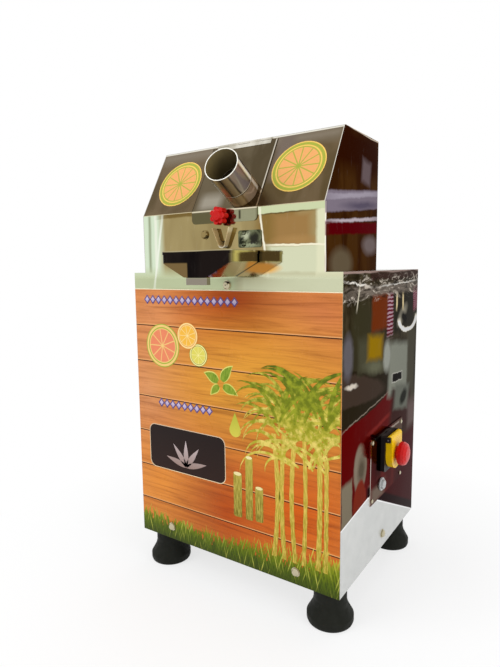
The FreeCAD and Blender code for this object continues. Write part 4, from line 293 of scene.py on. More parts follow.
    def relief(self, height, strength, distance=0.001):
        """Bump from a height value."""
        node = self.tree.nodes.new("ShaderNodeBump")
        node.inputs["Strength"].default_value = strength
        node.inputs["Distance"].default_value = distance
        self.link(height, node.inputs["Height"])
        self.link(node.outputs["Normal"], self.shader.inputs["Normal"])


def dress(finish, *names):
    """Give CAD nodes a finish."""
    for name in names:
        slots = nodes[name].data.materials
        slots.clear()
        slots.append(finish.material)
    print(finish.material.name, "on", ", ".join(names))


# %% [markdown]
# ## The studio
# The machine stands on white paper in a white room, lit by three soft lamps. The paper keeps the shadow
# near the feet and turns plain white further out. Mirrors in the machine see the same white room, so
# the darker tones that a workshop puts into polished sheet are painted on each sheet further down as
# painted reflections.

# %% Studio
def ray_kinds(tree):
    """1 where a ray comes from the camera, a mirror or a glass, and 0 for light on the scene."""
    path = tree.nodes.new("ShaderNodeLightPath")
    total = path.outputs["Is Camera Ray"]
    for kind in ("Is Glossy Ray", "Is Transmission Ray"):
        add = tree.nodes.new("ShaderNodeMath")
        add.operation = "MAXIMUM"
        tree.links.new(total, add.inputs[0])
        tree.links.new(path.outputs[kind], add.inputs[1])
        total = add.outputs["Value"]
    return total


WORLD_LIGHT = 0.55
world = bpy.data.worlds.new("studio")
bpy.context.scene.world = world
world.use_nodes = True
sky = world.node_tree
sky_shader = sky.nodes["Background"]
strength = sky.nodes.new("ShaderNodeMapRange")
strength.inputs["To Min"].default_value = WORLD_LIGHT
strength.inputs["To Max"].default_value = 1.0
sky.links.new(ray_kinds(sky), strength.inputs["Value"])
sky.links.new(strength.outputs["Result"], sky_shader.inputs["Strength"])
sky_shader.inputs["Color"].default_value = (1, 1, 1, 1)

FLOOR_HALF = 3.0
SHADOW_REACH = 0.75            # metres from the middle; past it the paper is plain white
NEAR_WHITE = 0.7               # share of plain white in the paper next to the machine
floor_mesh = bpy.data.meshes.new("floor")
floor_mesh.from_pydata([(-FLOOR_HALF, -FLOOR_HALF, 0), (FLOOR_HALF, -FLOOR_HALF, 0),
                        (FLOOR_HALF, FLOOR_HALF, 0), (-FLOOR_HALF, FLOOR_HALF, 0)], [], [(0, 1, 2, 3)])
floor = bpy.data.objects.new("floor", floor_mesh)
bpy.context.scene.collection.objects.link(floor)


def floor_finish():
    """White paper that keeps the machine's shadow: bright where lit, darker where shaded."""
    material = bpy.data.materials.new("floor_paper")
    material.use_nodes = True
    tree = material.node_tree
    paper = tree.nodes["Principled BSDF"]
    paper.inputs["Base Color"].default_value = (0.9, 0.9, 0.9, 1)
    paper.inputs["Roughness"].default_value = 0.9
    paper.inputs["Specular IOR Level"].default_value = 0.0
    glow = tree.nodes.new("ShaderNodeEmission")
    glow.inputs["Color"].default_value = (1, 1, 1, 1)
    blend = tree.nodes.new("ShaderNodeMixShader")
    place = tree.nodes.new("ShaderNodeTexCoord")
    distance = tree.nodes.new("ShaderNodeVectorMath")
    distance.operation = "LENGTH"
    tree.links.new(place.outputs["Object"], distance.inputs[0])
    white = tree.nodes.new("ShaderNodeMapRange")
    limits = (("From Min", SHADOW_REACH / 2), ("From Max", SHADOW_REACH),
              ("To Min", NEAR_WHITE), ("To Max", 1.0))
    for socket, number in limits:
        white.inputs[socket].default_value = number
    tree.links.new(distance.outputs["Value"], white.inputs["Value"])
    part = tree.nodes.new("ShaderNodeMath")
    part.operation = "MULTIPLY"
    tree.links.new(ray_kinds(tree), part.inputs[0])
    tree.links.new(white.outputs["Result"], part.inputs[1])
    tree.links.new(part.outputs["Value"], blend.inputs["Fac"])
    tree.links.new(paper.outputs["BSDF"], blend.inputs[1])
    tree.links.new(glow.outputs["Emission"], blend.inputs[2])
    tree.links.new(blend.outputs["Shader"], tree.nodes["Material Output"].inputs["Surface"])
    return material


floor_mesh.materials.append(floor_finish())


def soft_lamp(name, place, target, size, power):
    """A square area lamp at a place, turned toward a target."""
    data = bpy.data.lights.new(name, "AREA")
    data.size = size
    data.energy = power
    lamp = bpy.data.objects.new(name, data)
    lamp.location = place
    lamp.rotation_euler = (Vector(target) - Vector(place)).to_track_quat("-Z", "Y").to_euler()
    lamp.visible_glossy = False
    bpy.context.scene.collection.objects.link(lamp)
    return lamp


CHEST = (0, 0, 0.45)
soft_lamp("key_lamp", (-1.1, -1.9, 1.9), CHEST, 1.6, 32)
soft_lamp("side_lamp", (2.1, -0.6, 1.3), CHEST, 1.4, 20)
soft_lamp("top_lamp", (0.1, 0.3, 2.4), CHEST, 1.5, 14)

print("studio: world, floor and three lamps")


# %% [markdown]
# ## Stainless sheet
# The casing is polished 1.2 mm sheet. Thin sheet is never quite flat, so its mirror image ripples, and
# hands leave a dull film. A full metal with a slow bump for the ripple and a patchy roughness for the
# film gives both. In a workshop each sheet mirrors another part of the room, so each one gets a ground
# tone and two lists over it: zones, which are bands between two places along x, y or z, and mirrored
# things, which are ovals, boxes, ladders and arcs with a middle, a half size and a turn. They are painted
# on the sheet, so the model carries them wherever it goes, but they don't slide as a true mirror image
# would. A side sheet is seen along its surface, where a metal's shine washes out to white, so its shine
# is tinted darker and its tones are raised to match.

# %% Sheet finish
EDGE_SHINE = ink(238, 234, 220)
ACROSS_FRONT, ACROSS_SIDE = 0, 1
GRAZING = 0.46                 # tint of a side sheet's shine where the eye looks along it
SIDE_GAIN = 1.4                # what that tint takes from a tone is given back


def sheet_steel(name, tint, shade, zones=(), things=(), plane=ACROSS_FRONT, rough=0.14, haze=0.1, scuff=0.1,
                reach=9.0, scale=9.0, stretch=(1.6, 1.6, 0.5)):
    """Polished sheet: two ground tones in upright patches, then painted reflections, highlights and shade as
    zones and mirrored things over them.
    """
    steel = Finish(name, tint, rough, 1.0)
    ground = steel.noise(9.0, 3.0, 0.5, steel.stretched(stretch), 0.6)
    colour = steel.ramp(ground, [(0.36, shade), (0.62, tint)], smooth=True)
    colour = steel.patches(colour, reach, scale, zones)
    if things:
        rulers = steel.ruler()
        wander = [steel.wavy(steel.wavy(rulers[axis], reach / 2, 4 * scale), reach / 3, 12 * scale)
                  for axis in (plane, 2)]
        colour = steel.mirrored(colour, wander[0], wander[1], things)
    scuffs = steel.noise(140.0, 4.0, 0.7, steel.stretched((1.0, 1.0, 0.25)))
    colour = steel.mix(steel.span(scuffs, 0.6, 0.8, 0.0, scuff), colour, ink(240, 238, 230))
    if plane == ACROSS_SIDE:
        steel.shader.inputs["Specular Tint"].default_value = (GRAZING, GRAZING, GRAZING, 1.0)
        colour = steel.vector("SCALE", colour, SIDE_GAIN)
    steel.set("Base Color", colour)
    film = steel.noise(22.0, 5.0, 0.6)
    steel.set("Roughness", steel.span(film, 0.35, 0.75, rough, rough + haze))
    steel.relief(steel.noise(7.0, 2.0, 0.4, steel.stretched((1.0, 1.0, 0.6))), 0.2, 0.003)
    return steel


# %% [markdown]
# ## The front sheets
# The upright front is the brightest sheet, and its tones are painted reflections: champagne in the
# middle, pale mint where daylight falls in from the left and under the hood on the right, and a warm
# tan between. The hood leans back and carries a painted reflection of the room's brown ceiling, with a
# painted highlight where it is folded at the kink and at the ridge.

# %% Front sheets
MINT = ink(214, 229, 202)
PALE = ink(214, 217, 184)
TAN = ink(172, 134, 82)
BROWN = ink(138, 110, 58)
tray_low, tray_high = corners("juice_tray")
TRAY_RIM = (tray_high.z - DATUM.z) / MM
TRAY_FRONT = (tray_low.y - DATUM.y) / MM
TRAY_SIDE = (tray_high.x - tray_low.x) / 2 / MM
# Painted reflections of the room on the upright front, with thin painted highlights and a painted mirror
# image of the tray.
champagne = sheet_steel("champagne_sheet", ink(168, 151, 104), ink(150, 132, 88), [
    (MINT, (-240, -152), None, None, 9),
    (ink(150, 160, 128), (-186, -180), None, (DECK, KINK), 3),
    # a painted highlight: a thin bright upright line
    (ink(236, 240, 222), (-170, -163), None, (DECK - 20, KINK), 2),
    (ink(196, 205, 166), (-240, 30), None, (DECK - 40, DECK + 2), 12),
    (PALE, (30, 240), None, (DECK - 40, DECK + 2), 12),
], [
    (BROWN, "box", (108, 628), (38, 28), 0, 0.2),
    (ink(160, 124, 74), "box", (140, 624), (36, 26), 0, 0.3),
    (TAN, "oval", (146, 606), (34, 7), 0, 0.6),
    (PALE, "box", (164, 575), (72, 22), 0, 0.12),
    (ink(226, 226, 192), "box", (214, 610), (30, 60), 0, 0.1),
    # a painted highlight: a thin bright line
    (ink(246, 240, 212), "box", (150, 598), (58, 1.6), -1, 0.3),
    (ink(206, 215, 172), "box", (140, KINK - 5), (74, 7), 1, 0.1),
    (ink(112, 92, 50), "box", (118, KINK - 13), (50, 1.2), 1, 0.5),
    (ink(120, 98, 52), "box", (-105, KINK - 3), (45, 4), 0, 0.4),
    # painted highlights: two thin bright slanted lines
    (ink(250, 246, 224), "box", (82, 618), (1.8, 50), 8, 0.6),
    (ink(240, 244, 228), "box", (-162, 590), (2.2, 66), -11, 0.6),
    # the tray's painted reflection: a gold oval and a dark box beside the tray
    (ink(232, 178, 96), "oval", (TRAY_SIDE + 4, TRAY_RIM - 31), (34, 9), 0, 0.3),
    (ink(84, 74, 64), "box", (TRAY_SIDE + 21, TRAY_RIM - 10.5), (22, 9), 0, 0.16),
], rough=0.04, haze=0.07, scuff=0.08, reach=3.0)
# Below the tray hands have dulled the shine.
DULL_TOP, DULL_FULL = 44.0, 50.0       # millimetres under the tray's rim where dulling starts and is full
DULLNESS = 0.4                         # roughness that it adds
front_height = champagne.ruler()[2]
shine = champagne.shader.inputs["Roughness"].links[0].from_socket
dull = champagne.span(front_height, TRAY_RIM - DULL_TOP, TRAY_RIM - DULL_FULL, 0.0, DULLNESS)
champagne.set("Roughness", champagne.maths("ADD", shine, dull))
hood_tone, hood_shade = ink(114, 96, 70), ink(94, 78, 50)
# painted shade in the gaps along the door's edges
GAP_SHADE = ink(70, 58, 40)
# Painted reflections of the brown ceiling on the hood, painted shade in the gaps beside the door and painted
# highlights along its edges.
hood_sheet = sheet_steel("hood_sheet", hood_tone, hood_shade, [
    (ink(134, 122, 104), (-200, 200), None, (RIDGE - 22, RIDGE), 10),
    (ink(122, 108, 96), (76, 110), None, (KINK + 46, RIDGE), 8),
    (GAP_SHADE, (72, 73.2), None, None, 0.4),
    (GAP_SHADE, (-73.2, -72), None, None, 0.4),
    # painted highlights at the ridge, the kink and the edge by the cheek
    (EDGE_SHINE, None, None, (RIDGE - 3.4, RIDGE + 9), 0.5),
    (ink(214, 200, 164), None, None, (KINK - 4, KINK + 1.2), 0.4),
    (EDGE_SHINE, (HEAD_HALF - 2.4, HEAD_HALF), None, None, 0.5),
], rough=0.26, haze=0.1, scuff=0.03, reach=0.0)
# Painted reflections on the door and its flap, with painted shade and painted highlights along its edges.
door_sheet = sheet_steel("door_sheet", ink(106, 94, 72), ink(84, 72, 50), [
    (ink(160, 152, 136), (-58, -10), None, (KINK + 2, KINK + 30), 9),
    # painted shade along the flap's lower edge
    (ink(40, 36, 24), None, None, (KINK - 32, KINK - 28.4), 0.5),
    (ink(150, 150, 120), (8, 72), None, (KINK - 30, KINK), 4),
    (ink(60, 56, 38), (34, 38), None, (KINK - 18, KINK - 3), 1.5),
    (ink(98, 92, 64), (-72, -14), None, (KINK - 30, KINK), 5),
    # a painted highlight on the door's right edge, painted shade in the gap at its left edge and a painted
    # highlight along the kink
    (ink(206, 198, 182), (69.6, 72.5), None, (KINK, RIDGE), 0.5),
    (ink(60, 50, 34), (-72.5, -70.6), None, (KINK, RIDGE), 0.4),
    (ink(224, 214, 186), (-71.5, 71.5), None, (KINK - 1.6, KINK + 0.8), 0.5),
], rough=0.08, haze=0.1, scuff=0.03, reach=0.0)
hinge_sheet = sheet_steel("hinge_sheet", ink(236, 232, 220), ink(196, 190, 174), scuff=0.0, reach=0.0)
dress(champagne, "front_panel", "head_front")
dress(hood_sheet, "hood_panel")
dress(door_sheet, "feed_door")
dress(hinge_sheet, "hinge_door_leaf", "hinge_fixed_leaf")


# %% [markdown]
# ## The side sheets
# The right side faces a cluttered room, and what it mirrors is painted on as painted reflections. Under
# its top edge something crumpled is mirrored as bright creases, below that the sheet is dark with a few
# dim things, the middle is deep red, and low down it mirrors the bright floor, cut off by a slanted
# edge. The cheek of the head is dark brown, crossed by pale bands and a red one, all painted
# reflections as well. The later a thing stands in a list, the nearer it lies to the eye.

# %% Side sheets
CABINET_BACK = 403             # depth of the cabinet's side sheet
HEAD_BACK = 227                # depth of the head's cheek
MAROON = ink(88, 14, 14)
WINE = ink(62, 5, 9)
GREY_GREEN = ink(126, 128, 116)
BLACK = ink(18, 15, 12)
# Painted reflections of the room on the cabinet's right side.
side_sheet = sheet_steel("side_sheet", ink(66, 58, 42), ink(34, 28, 18), [
    (ink(150, 128, 120), None, (0, CABINET_BACK), (DECK - 4, DECK), 0.8),
    (ink(58, 40, 34), None, (120, CABINET_BACK), (DECK - 18, DECK - 4), 3),
], [
    (MAROON, "box", (140, 226), (170, 100), 0, 0.03),
    (ink(116, 34, 30), "box", (180, 262), (60, 4), 6, 0.5),
    (ink(40, 34, 24), "oval", (0, 345), (237, 49), -2.5, 0.03),
    (ink(62, 50, 42), "oval", (-10, 362), (210, 28), -9, 0.08),
    (ink(124, 112, 100), "box", (110, 303), (104, 1.2), 6, 0.4),
    (ink(200, 190, 176), "oval", (40, 362), (24, 4), -6, 0.4),
    (ink(52, 48, 34), "box", (110, 396), (134, 22), -11, 0.06),
    (ink(54, 50, 34), "oval", (84, 458), (50, 46), 0, 0.3),
    (ink(92, 88, 92), "oval", (24, 414), (20, 36), 2, 0.3),
    (ink(70, 68, 52), "box", (92, 408), (24, 28), 0, 0.4),
    (ink(96, 96, 76), "oval", (150, 378), (44, 12), -8, 0.6),
    (ink(104, 44, 14), "box", (170, 478), (42, 34), 0, 0.15),
    (ink(140, 108, 12), "box", (148, 414), (36, 22), -6, 0.3),
    (GREY_GREEN, "box", (285, 352), (60, 54), -6, 0.15),
    (ink(146, 148, 138), "oval", (212, 388), (20, 30), 0, 0.3),
    (ink(64, 60, 46), "box", (366, 370), (24, 90), 0, 0.3),
    (ink(34, 30, 22), "box", (316, 470), (66, 40), 0, 0.2),
    (ink(140, 134, 118), "oval", (300, 462), (30, 12), 30, 0.5),
    (BLACK, "oval", (312, 456), (20, 10), -20, 0.4),
    (ink(244, 236, 220), "arc", (338, 454), (66, 30), 0, 0.08),
    (ink(96, 18, 36), "box", (226, 470), (16, 40), 0, 0.1),
    (ink(170, 140, 150), "ladder", (226, 470), (16, 40), 0, 0.3),
    (ink(96, 18, 36), "box", (388, 492), (16, 24), 0, 0.2),
    (ink(150, 110, 122), "ladder", (388, 492), (16, 24), 14, 0.2),
    (ink(216, 196, 150), "box", (264, 492), (4, 15), -3, 0.4),
    (ink(216, 196, 150), "box", (302, 490), (4, 15), 2, 0.4),
    (ink(112, 102, 92), "box", (210, 518), (190, 9), 0, 0.5),
    (ink(226, 220, 210), "box", (60, 532), (46, 1.5), -6, 0.6),
    (ink(206, 198, 176), "box", (64, 508), (2.2, 18), -20, 0.6),
    (ink(216, 212, 204), "box", (280, 527), (90, 1.2), 1.5, 0.6),
    (ink(176, 174, 164), "box", (276, 336), (32, 10), -3, 0.12),
    (BLACK, "box", (276, 336), (29, 8), -3, 0.1),
    (ink(38, 46, 36), "box", (280, 300), (34, 6), -10, 0.4),
    (ink(54, 26, 22), "box", (300, 262), (60, 40), -12, 0.2),
    (ink(100, 102, 92), "box", (308, 288), (46, 26), -10, 0.2),
    (ink(26, 28, 20), "oval", (320, 286), (24, 14), 20, 0.3),
    (ink(98, 80, 76), "box", (378, 236), (26, 30), 0, 0.4),
    (WINE, "box", (320, 84), (132, 122), 0, 0.08),
    (ink(126, 114, 98), "oval", (84, 204), (30, 44), 3, 0.1),
    (ink(86, 76, 62), "oval", (90, 200), (16, 22), 3, 0.5),
    (ink(116, 40, 26), "oval", (84, 138), (30, 44), 0, 0.08),
    (ink(122, 112, 94), "box", (26, 146), (22, 52), 0, 0.1),
    (ink(132, 120, 110), "box", (176, 142), (44, 12), 0, 0.3),
], ACROSS_SIDE, rough=0.1, haze=0.06, scuff=0.02, reach=7.0, scale=8.0, stretch=(3.0, 3.0, 1.2))


def crumpled(finish, low, high):
    """Painted reflection of something crumpled, as where a plastic bag or foil is mirrored: bright and dark
    creases between two heights.
    """
    across, back, up = finish.ruler()
    creases = finish.noise(16.0, 6.0, 0.75, finish.stretched((1.0, 1.0, 3.4)), 1.6)
    colour = finish.shader.inputs["Base Color"].links[0].from_socket
    band = finish.within(up, low, high, 6)
    dark = finish.maths("MULTIPLY", band, finish.span(creases, 0.46, 0.4, 0.0, 0.8))
    bright = finish.maths("MULTIPLY", band, finish.span(creases, 0.54, 0.62, 0.0, 0.9))
    colour = finish.mix(dark, colour, ink(40, 34, 26))
    finish.set("Base Color", finish.mix(bright, colour, ink(226, 214, 198)))


GLARE_FRONT = 122              # height of the bright floor's edge at the front
GLARE_TOP = 134                # and at its highest
GLARE_RISE = 122               # depth at which it stops rising
GLARE_FALL = 126               # depth at which it starts to fall


def floor_glare(finish):
    """The floor's painted reflection: bright below a slanted edge that rises, then falls, toward the rear,
    with a white line along the edge and a dark red wedge above it.
    """
    across, back, up = finish.ruler()
    rising = finish.span(back, 0, GLARE_RISE, GLARE_FRONT, GLARE_TOP)
    falling = finish.span(back, GLARE_FALL, CABINET_BACK, 0, GLARE_TOP)
    below = finish.maths("SUBTRACT", finish.maths("SUBTRACT", rising, falling), up)
    glare = finish.span(below, -1.0, 1.0)
    colour = finish.shader.inputs["Base Color"].links[0].from_socket
    wedge = finish.maths("MULTIPLY", finish.within(below, -20, 0, 3), finish.span(back, 112, 124))
    colour = finish.mix(wedge, colour, ink(36, 6, 8))
    bright = finish.mix(finish.noise(30.0, 3.0), ink(190, 192, 190), ink(216, 217, 214))
    colour = finish.mix(glare, colour, bright)
    finish.set("Base Color", finish.mix(finish.within(below, -0.5, 2.0, 0.6), colour, ink(255, 255, 255)))
    finish.set("Metallic", finish.maths("MULTIPLY_ADD", glare, -0.8, 1.0))


# painted reflections: creases near the top and the floor's glare low down
crumpled(side_sheet, DECK - 52, DECK - 8)
floor_glare(side_sheet)
# Painted reflections on the head's cheek, with painted highlights along its front edge and its top edge.
cheek_sheet = sheet_steel("cheek_sheet", ink(64, 40, 20), ink(50, 28, 16), [
    (ink(44, 21, 14), None, (0, HEAD_BACK), (RIDGE - 70, RIDGE), 16),
    # painted highlights along the front edge and the top edge
    (ink(236, 220, 206), None, (0, 3), (DECK, KINK), 0.8),
    (ink(196, 180, 160), None, (0, HEAD_BACK), (RIDGE - 2, RIDGE), 0.6),
], [
    (ink(116, 106, 118), "box", (118, 676), (124, 17), 6, 0.1),
    (ink(150, 142, 154), "box", (128, 686), (112, 4), 7, 0.5),
    (ink(84, 76, 92), "oval", (150, 670), (70, 6), 5, 0.6),
    (ink(172, 160, 168), "box", (118, 642), (124, 3), 5, 0.5),
    (ink(80, 14, 18), "box", (118, 628), (124, 10), 3, 0.2),
    (ink(104, 92, 90), "oval", (190, 600), (34, 16), 0, 0.4),
    (ink(90, 78, 60), "oval", (62, 566), (44, 26), 0, 0.3),
    (ink(96, 82, 84), "box", (168, 730), (20, 20), -8, 0.3),
], ACROSS_SIDE, rough=0.1, haze=0.06, scuff=0.02, reach=5.0, scale=9.0, stretch=(3.0, 3.0, 1.2))
# Painted reflections on the control plate, among them a thin bright upright line.
plate_sheet = sheet_steel("control_plate_sheet", ink(92, 30, 28), ink(60, 18, 18), [
    (ink(206, 196, 186), None, (130, 133), None, 0.8),
], [
    (ink(84, 66, 56), "box", (286, 214), (34, 32), 0, 0.3),
    (ink(150, 136, 126), "box", (222, 238), (84, 2.2), 0, 0.3),
    (BLACK, "oval", (178, 196), (16, 34), 0, 0.5),
    (ink(112, 96, 84), "box", (170, 128), (34, 14), 0, 0.4),
], ACROSS_SIDE, rough=0.1, haze=0.06, scuff=0.03, reach=5.0)
plain_sheet = sheet_steel("plain_sheet", ink(206, 204, 197), ink(186, 183, 174), rough=0.2, haze=0.14,
                          scuff=0.2, stretch=(0.7, 0.7, 0.22))
dress(side_sheet, "right_side_panel")
dress(cheek_sheet, "head_right_cheek")
dress(plate_sheet, "control_plate")
dress(plain_sheet, "left_side_panel", "head_left_cheek", "rear_panel", "head_rear", "head_top", "top_deck")


# %% [markdown]
# ## Tray, spout and cover plate
# The tray is the same sheet, folded and welded, and its tones are painted reflections of what is under
# it. Its front looks almost black, its slanted left part is grey-brown, the right band is gold, and a
# painted highlight runs round the folded rim. Painted shade lies where the tray meets the front and at
# the fold above its right taper. The spout's tone is a painted reflection of the champagne front, with
# painted highlights on its lips and low down.

# %% Tray and spout
OUTLET_DEPTH = 60              # from the tray's front to the middle of its outlet
OUTLET_MIDDLE = TRAY_FRONT + OUTLET_DEPTH
# Painted reflections on the tray.
tray_sheet = sheet_steel("tray_sheet", ink(30, 24, 22), ink(14, 11, 12), [
    (ink(120, 98, 62), (-74, -16), (TRAY_FRONT, TRAY_FRONT + 4), (TRAY_RIM - 47, TRAY_RIM - 20.5), 1.2),
    # a painted highlight on the right band
    (ink(255, 234, 152), (70, 80), (TRAY_FRONT + 8, 2), None, 7),
    (ink(150, 142, 100), (70, 80), (-9, 2), None, 4),
    (ink(170, 138, 82), (22, 73), (TRAY_FRONT + 5, 2), (TRAY_RIM - 48, TRAY_RIM - 19.5), 3),
    # painted shade at the fold above the right taper and where the tray meets the front
    (ink(28, 16, 12), (22, 73), (TRAY_FRONT + 5, 2), (TRAY_RIM - 20.5, TRAY_RIM - 18.5), 0.6),
    (ink(22, 14, 10), (20, 80), (-3.2, 0.5), None, 0.5),
    (ink(206, 210, 170), (-24, 24), None, (TRAY_RIM - 70, TRAY_RIM - 46), 1),
    (ink(144, 136, 122), (-24, 24), (TRAY_FRONT, OUTLET_MIDDLE), (TRAY_RIM - 70, TRAY_RIM - 46), 1),
    # a painted highlight round the rim
    (ink(176, 164, 130), None, None, (TRAY_RIM - 1.6, TRAY_RIM + 4), 0.4),
], rough=0.08, haze=0.08, scuff=0.01, reach=2.0)
# A painted reflection of the champagne front, with painted highlights on the lips and low down.
spout_sheet = sheet_steel("spout_sheet", ink(214, 190, 140), ink(192, 166, 114), [
    (EDGE_SHINE, (-24, -17.5), None, None, 0.6),
    (ink(232, 216, 172), (17.5, 24), None, None, 0.6),
    (ink(232, 222, 196), None, None, (DECK + 40, DECK + 47), 2),
], rough=0.3, haze=0.1, scuff=0.02, reach=1.0)
spout_sheet.shader.inputs["Metallic"].default_value = 0.0
# Painted reflections on the access plate: pale and dark patches.
cover_sheet = sheet_steel("cover_plate_sheet", ink(116, 120, 90), ink(60, 62, 44), things=[
    (ink(182, 186, 156), "oval", (48, 616), (9, 5), 20, 0.5),
    (ink(38, 40, 30), "oval", (38, 606), (6, 9), 0, 0.5),
    (ink(46, 46, 38), "box", (66, 610), (9, 9), 0, 0.5),
    (ink(150, 156, 124), "oval", (56, 600), (16, 3), 0, 0.5),
], rough=0.14, haze=0.1, scuff=0.1, reach=8.0, scale=60.0, stretch=(7, 7, 7))
dress(tray_sheet, "juice_tray")
dress(spout_sheet, "juice_spout")
dress(cover_sheet, "access_plate")


# %% [markdown]
# ## The feed tube
# The tube is rolled sheet with a polished skin. A polished cylinder squeezes the whole room into
# lengthwise streaks, so its tone is a painted reflection that follows the angle round the axis. Inside
# it is darker, with painted shade that changes round the axis, its mouth is cut clean with a painted
# highlight on its rim, and a weld ring shows where the length inside the machine was joined on, with a
# painted highlight beside it.

# %% Feed tube
TUBE_YAW = math.radians(8.2)
TUBE_RISE = math.radians(23.7)
TUBE_ASIDE = 31.9              # where the axis meets the hood, right of the middle
TUBE_UP_SLOPE = 33.1           # and up the hood from the kink
TUBE_FOOT = spot(TUBE_ASIDE, SLOPE.y * TUBE_UP_SLOPE, KINK + SLOPE.z * TUBE_UP_SLOPE)
TUBE_LENGTH = 87.4
TUBE_RADIUS = 30.15
WELD_RING = 33.0               # the seam's place along the axis
along = Vector((math.cos(TUBE_RISE) * math.sin(TUBE_YAW), -math.cos(TUBE_RISE) * math.cos(TUBE_YAW),
                math.sin(TUBE_RISE)))
aside = Vector((0, 0, 1)).cross(along).normalized()
above = along.cross(aside)

tube_steel = Finish("tube_steel", ink(120, 104, 82), 0.16, 1.0)
from_foot = tube_steel.vector("SUBTRACT", tube_steel.place, TUBE_FOOT)
out_of_hood, to_side, to_top = [
    tube_steel.maths("MULTIPLY", tube_steel.vector("DOT_PRODUCT", from_foot, way), 1 / MM)
    for way in (along, aside, above)]
round_axis = tube_steel.maths("ARCTAN2", to_top, to_side)
turn = tube_steel.span(tube_steel.wavy(round_axis, 0.04, 40.0), -math.pi, math.pi)
# Painted reflections as streaks from the lower left round the right side to the top: (share of a turn, red,
# green, blue).
STREAKS = ((0.0, 75, 62, 47), (0.09, 47, 37, 27), (0.125, 250, 244, 228), (0.15, 176, 167, 144),
           (0.165, 34, 27, 17), (0.2, 153, 129, 87), (0.25, 117, 94, 59), (0.265, 31, 20, 12),
           (0.29, 137, 112, 75), (0.33, 161, 139, 101), (0.345, 41, 28, 19), (0.365, 148, 134, 119),
           (0.42, 134, 122, 119), (0.47, 117, 105, 105), (0.49, 72, 59, 53), (0.515, 252, 248, 240),
           (0.535, 240, 232, 220), (0.55, 51, 42, 36), (0.6, 103, 90, 81), (0.64, 39, 31, 25),
           (0.7, 153, 137, 109), (0.76, 55, 44, 33), (0.83, 244, 238, 224), (0.88, 81, 69, 51),
           (1.0, 75, 62, 47))
tone = tube_steel.ramp(turn, [(share, ink(*streak)) for share, *streak in STREAKS])
lower_part = tube_steel.span(out_of_hood, WELD_RING - 1, WELD_RING + 1, 0.45, 0.0)
tone = tube_steel.mix(lower_part, tone, ink(176, 140, 90))
from_axis = tube_steel.maths("SQRT", tube_steel.maths("ADD", tube_steel.maths("MULTIPLY", to_side, to_side),
                                                      tube_steel.maths("MULTIPLY", to_top, to_top)))
inside = tube_steel.span(from_axis, TUBE_RADIUS - 1.0, TUBE_RADIUS - 0.6, 1.0, 0.0)
# painted shade inside the tube, changing round the axis
deep = tube_steel.ramp(turn, [(0.0, ink(120, 104, 66)), (0.3, ink(84, 68, 38)), (0.55, ink(70, 58, 32)),
                              (0.8, ink(132, 118, 82)), (1.0, ink(120, 104, 66))])
tone = tube_steel.mix(inside, tone, deep)
tone = tube_steel.mix(tube_steel.within(out_of_hood, WELD_RING - 0.6, WELD_RING + 0.6, 0.3), tone,
                      ink(34, 24, 16))
# a painted highlight just beyond the weld seam
tone = tube_steel.mix(tube_steel.within(out_of_hood, WELD_RING + 1.2, WELD_RING + 2.2, 0.5), tone,
                      ink(214, 200, 170))
# a painted highlight on the mouth's rim
mouth = tube_steel.span(out_of_hood, TUBE_LENGTH - 0.8, TUBE_LENGTH - 0.3)
tube_steel.set("Base Color", tube_steel.mix(mouth, tone, ink(250, 248, 238)))
tube_steel.set("Metallic", tube_steel.maths("MULTIPLY_ADD", inside, -0.4, 0.4))
tube_steel.set("Roughness", tube_steel.span(tube_steel.noise(40.0, 4.0), 0.3, 0.8, 0.1, 0.24))
tube_steel.relief(tube_steel.within(out_of_hood, WELD_RING - 0.8, WELD_RING + 0.8, 0.5), 0.5, 0.0006)
dress(tube_steel, "feed_tube")


# %% [markdown]
# ## The printed skin
# The lower front carries a printed vinyl skin: boards of orange wood with grass along the bottom. Each
# board has its own shade and grain, a dark joint runs between two boards, and the middle glows as if
# lit. The grass is drawn by comparing the height above the edge with a noise that is squeezed into
# upright blades.

# %% Printed wood and grass
BOARD = 74.3                   # height of one board
FIRST_JOINT = 75.0             # lowest joint above the edge
JOINT = 1.9                    # width of the dark line between two boards
GLOW_PLACE = (70.0, 345.0)
INK_GLOSS = 0.14               # printed film: a deep colour with a weak shine
PRINT_TOP = (corners("front_print")[1].z - DATUM.z) / MM

skin = Finish("printed_skin", ink(204, 124, 62), 0.36, gloss=INK_GLOSS)
skin_x, skin_y, skin_z = skin.ruler()
board_count = skin.maths("DIVIDE", skin.maths("SUBTRACT", skin_z, FIRST_JOINT - 4 * BOARD), BOARD)
board = skin.maths("FLOOR", board_count)
in_board = skin.maths("MULTIPLY", skin.maths("FRACT", board_count), BOARD)
board_seed = skin.tree.nodes.new("ShaderNodeTexWhiteNoise")
board_seed.noise_dimensions = "1D"
skin.link(board, board_seed.inputs["W"])
seed = board_seed.outputs["Value"]


def grain(length, height, detail, twist):
    """Noise drawn out along the boards and shifted from board to board."""
    node = skin.tree.nodes.new("ShaderNodeCombineXYZ")
    skin.link(skin.maths("MULTIPLY_ADD", seed, 40.0, skin.maths("DIVIDE", skin_x, length)), node.inputs["X"])
    skin.link(skin.maths("MULTIPLY_ADD", seed, 90.0, skin.maths("DIVIDE", skin_z, height)), node.inputs["Y"])
    return skin.noise(1.0, detail, 0.6, node.outputs["Vector"], twist)


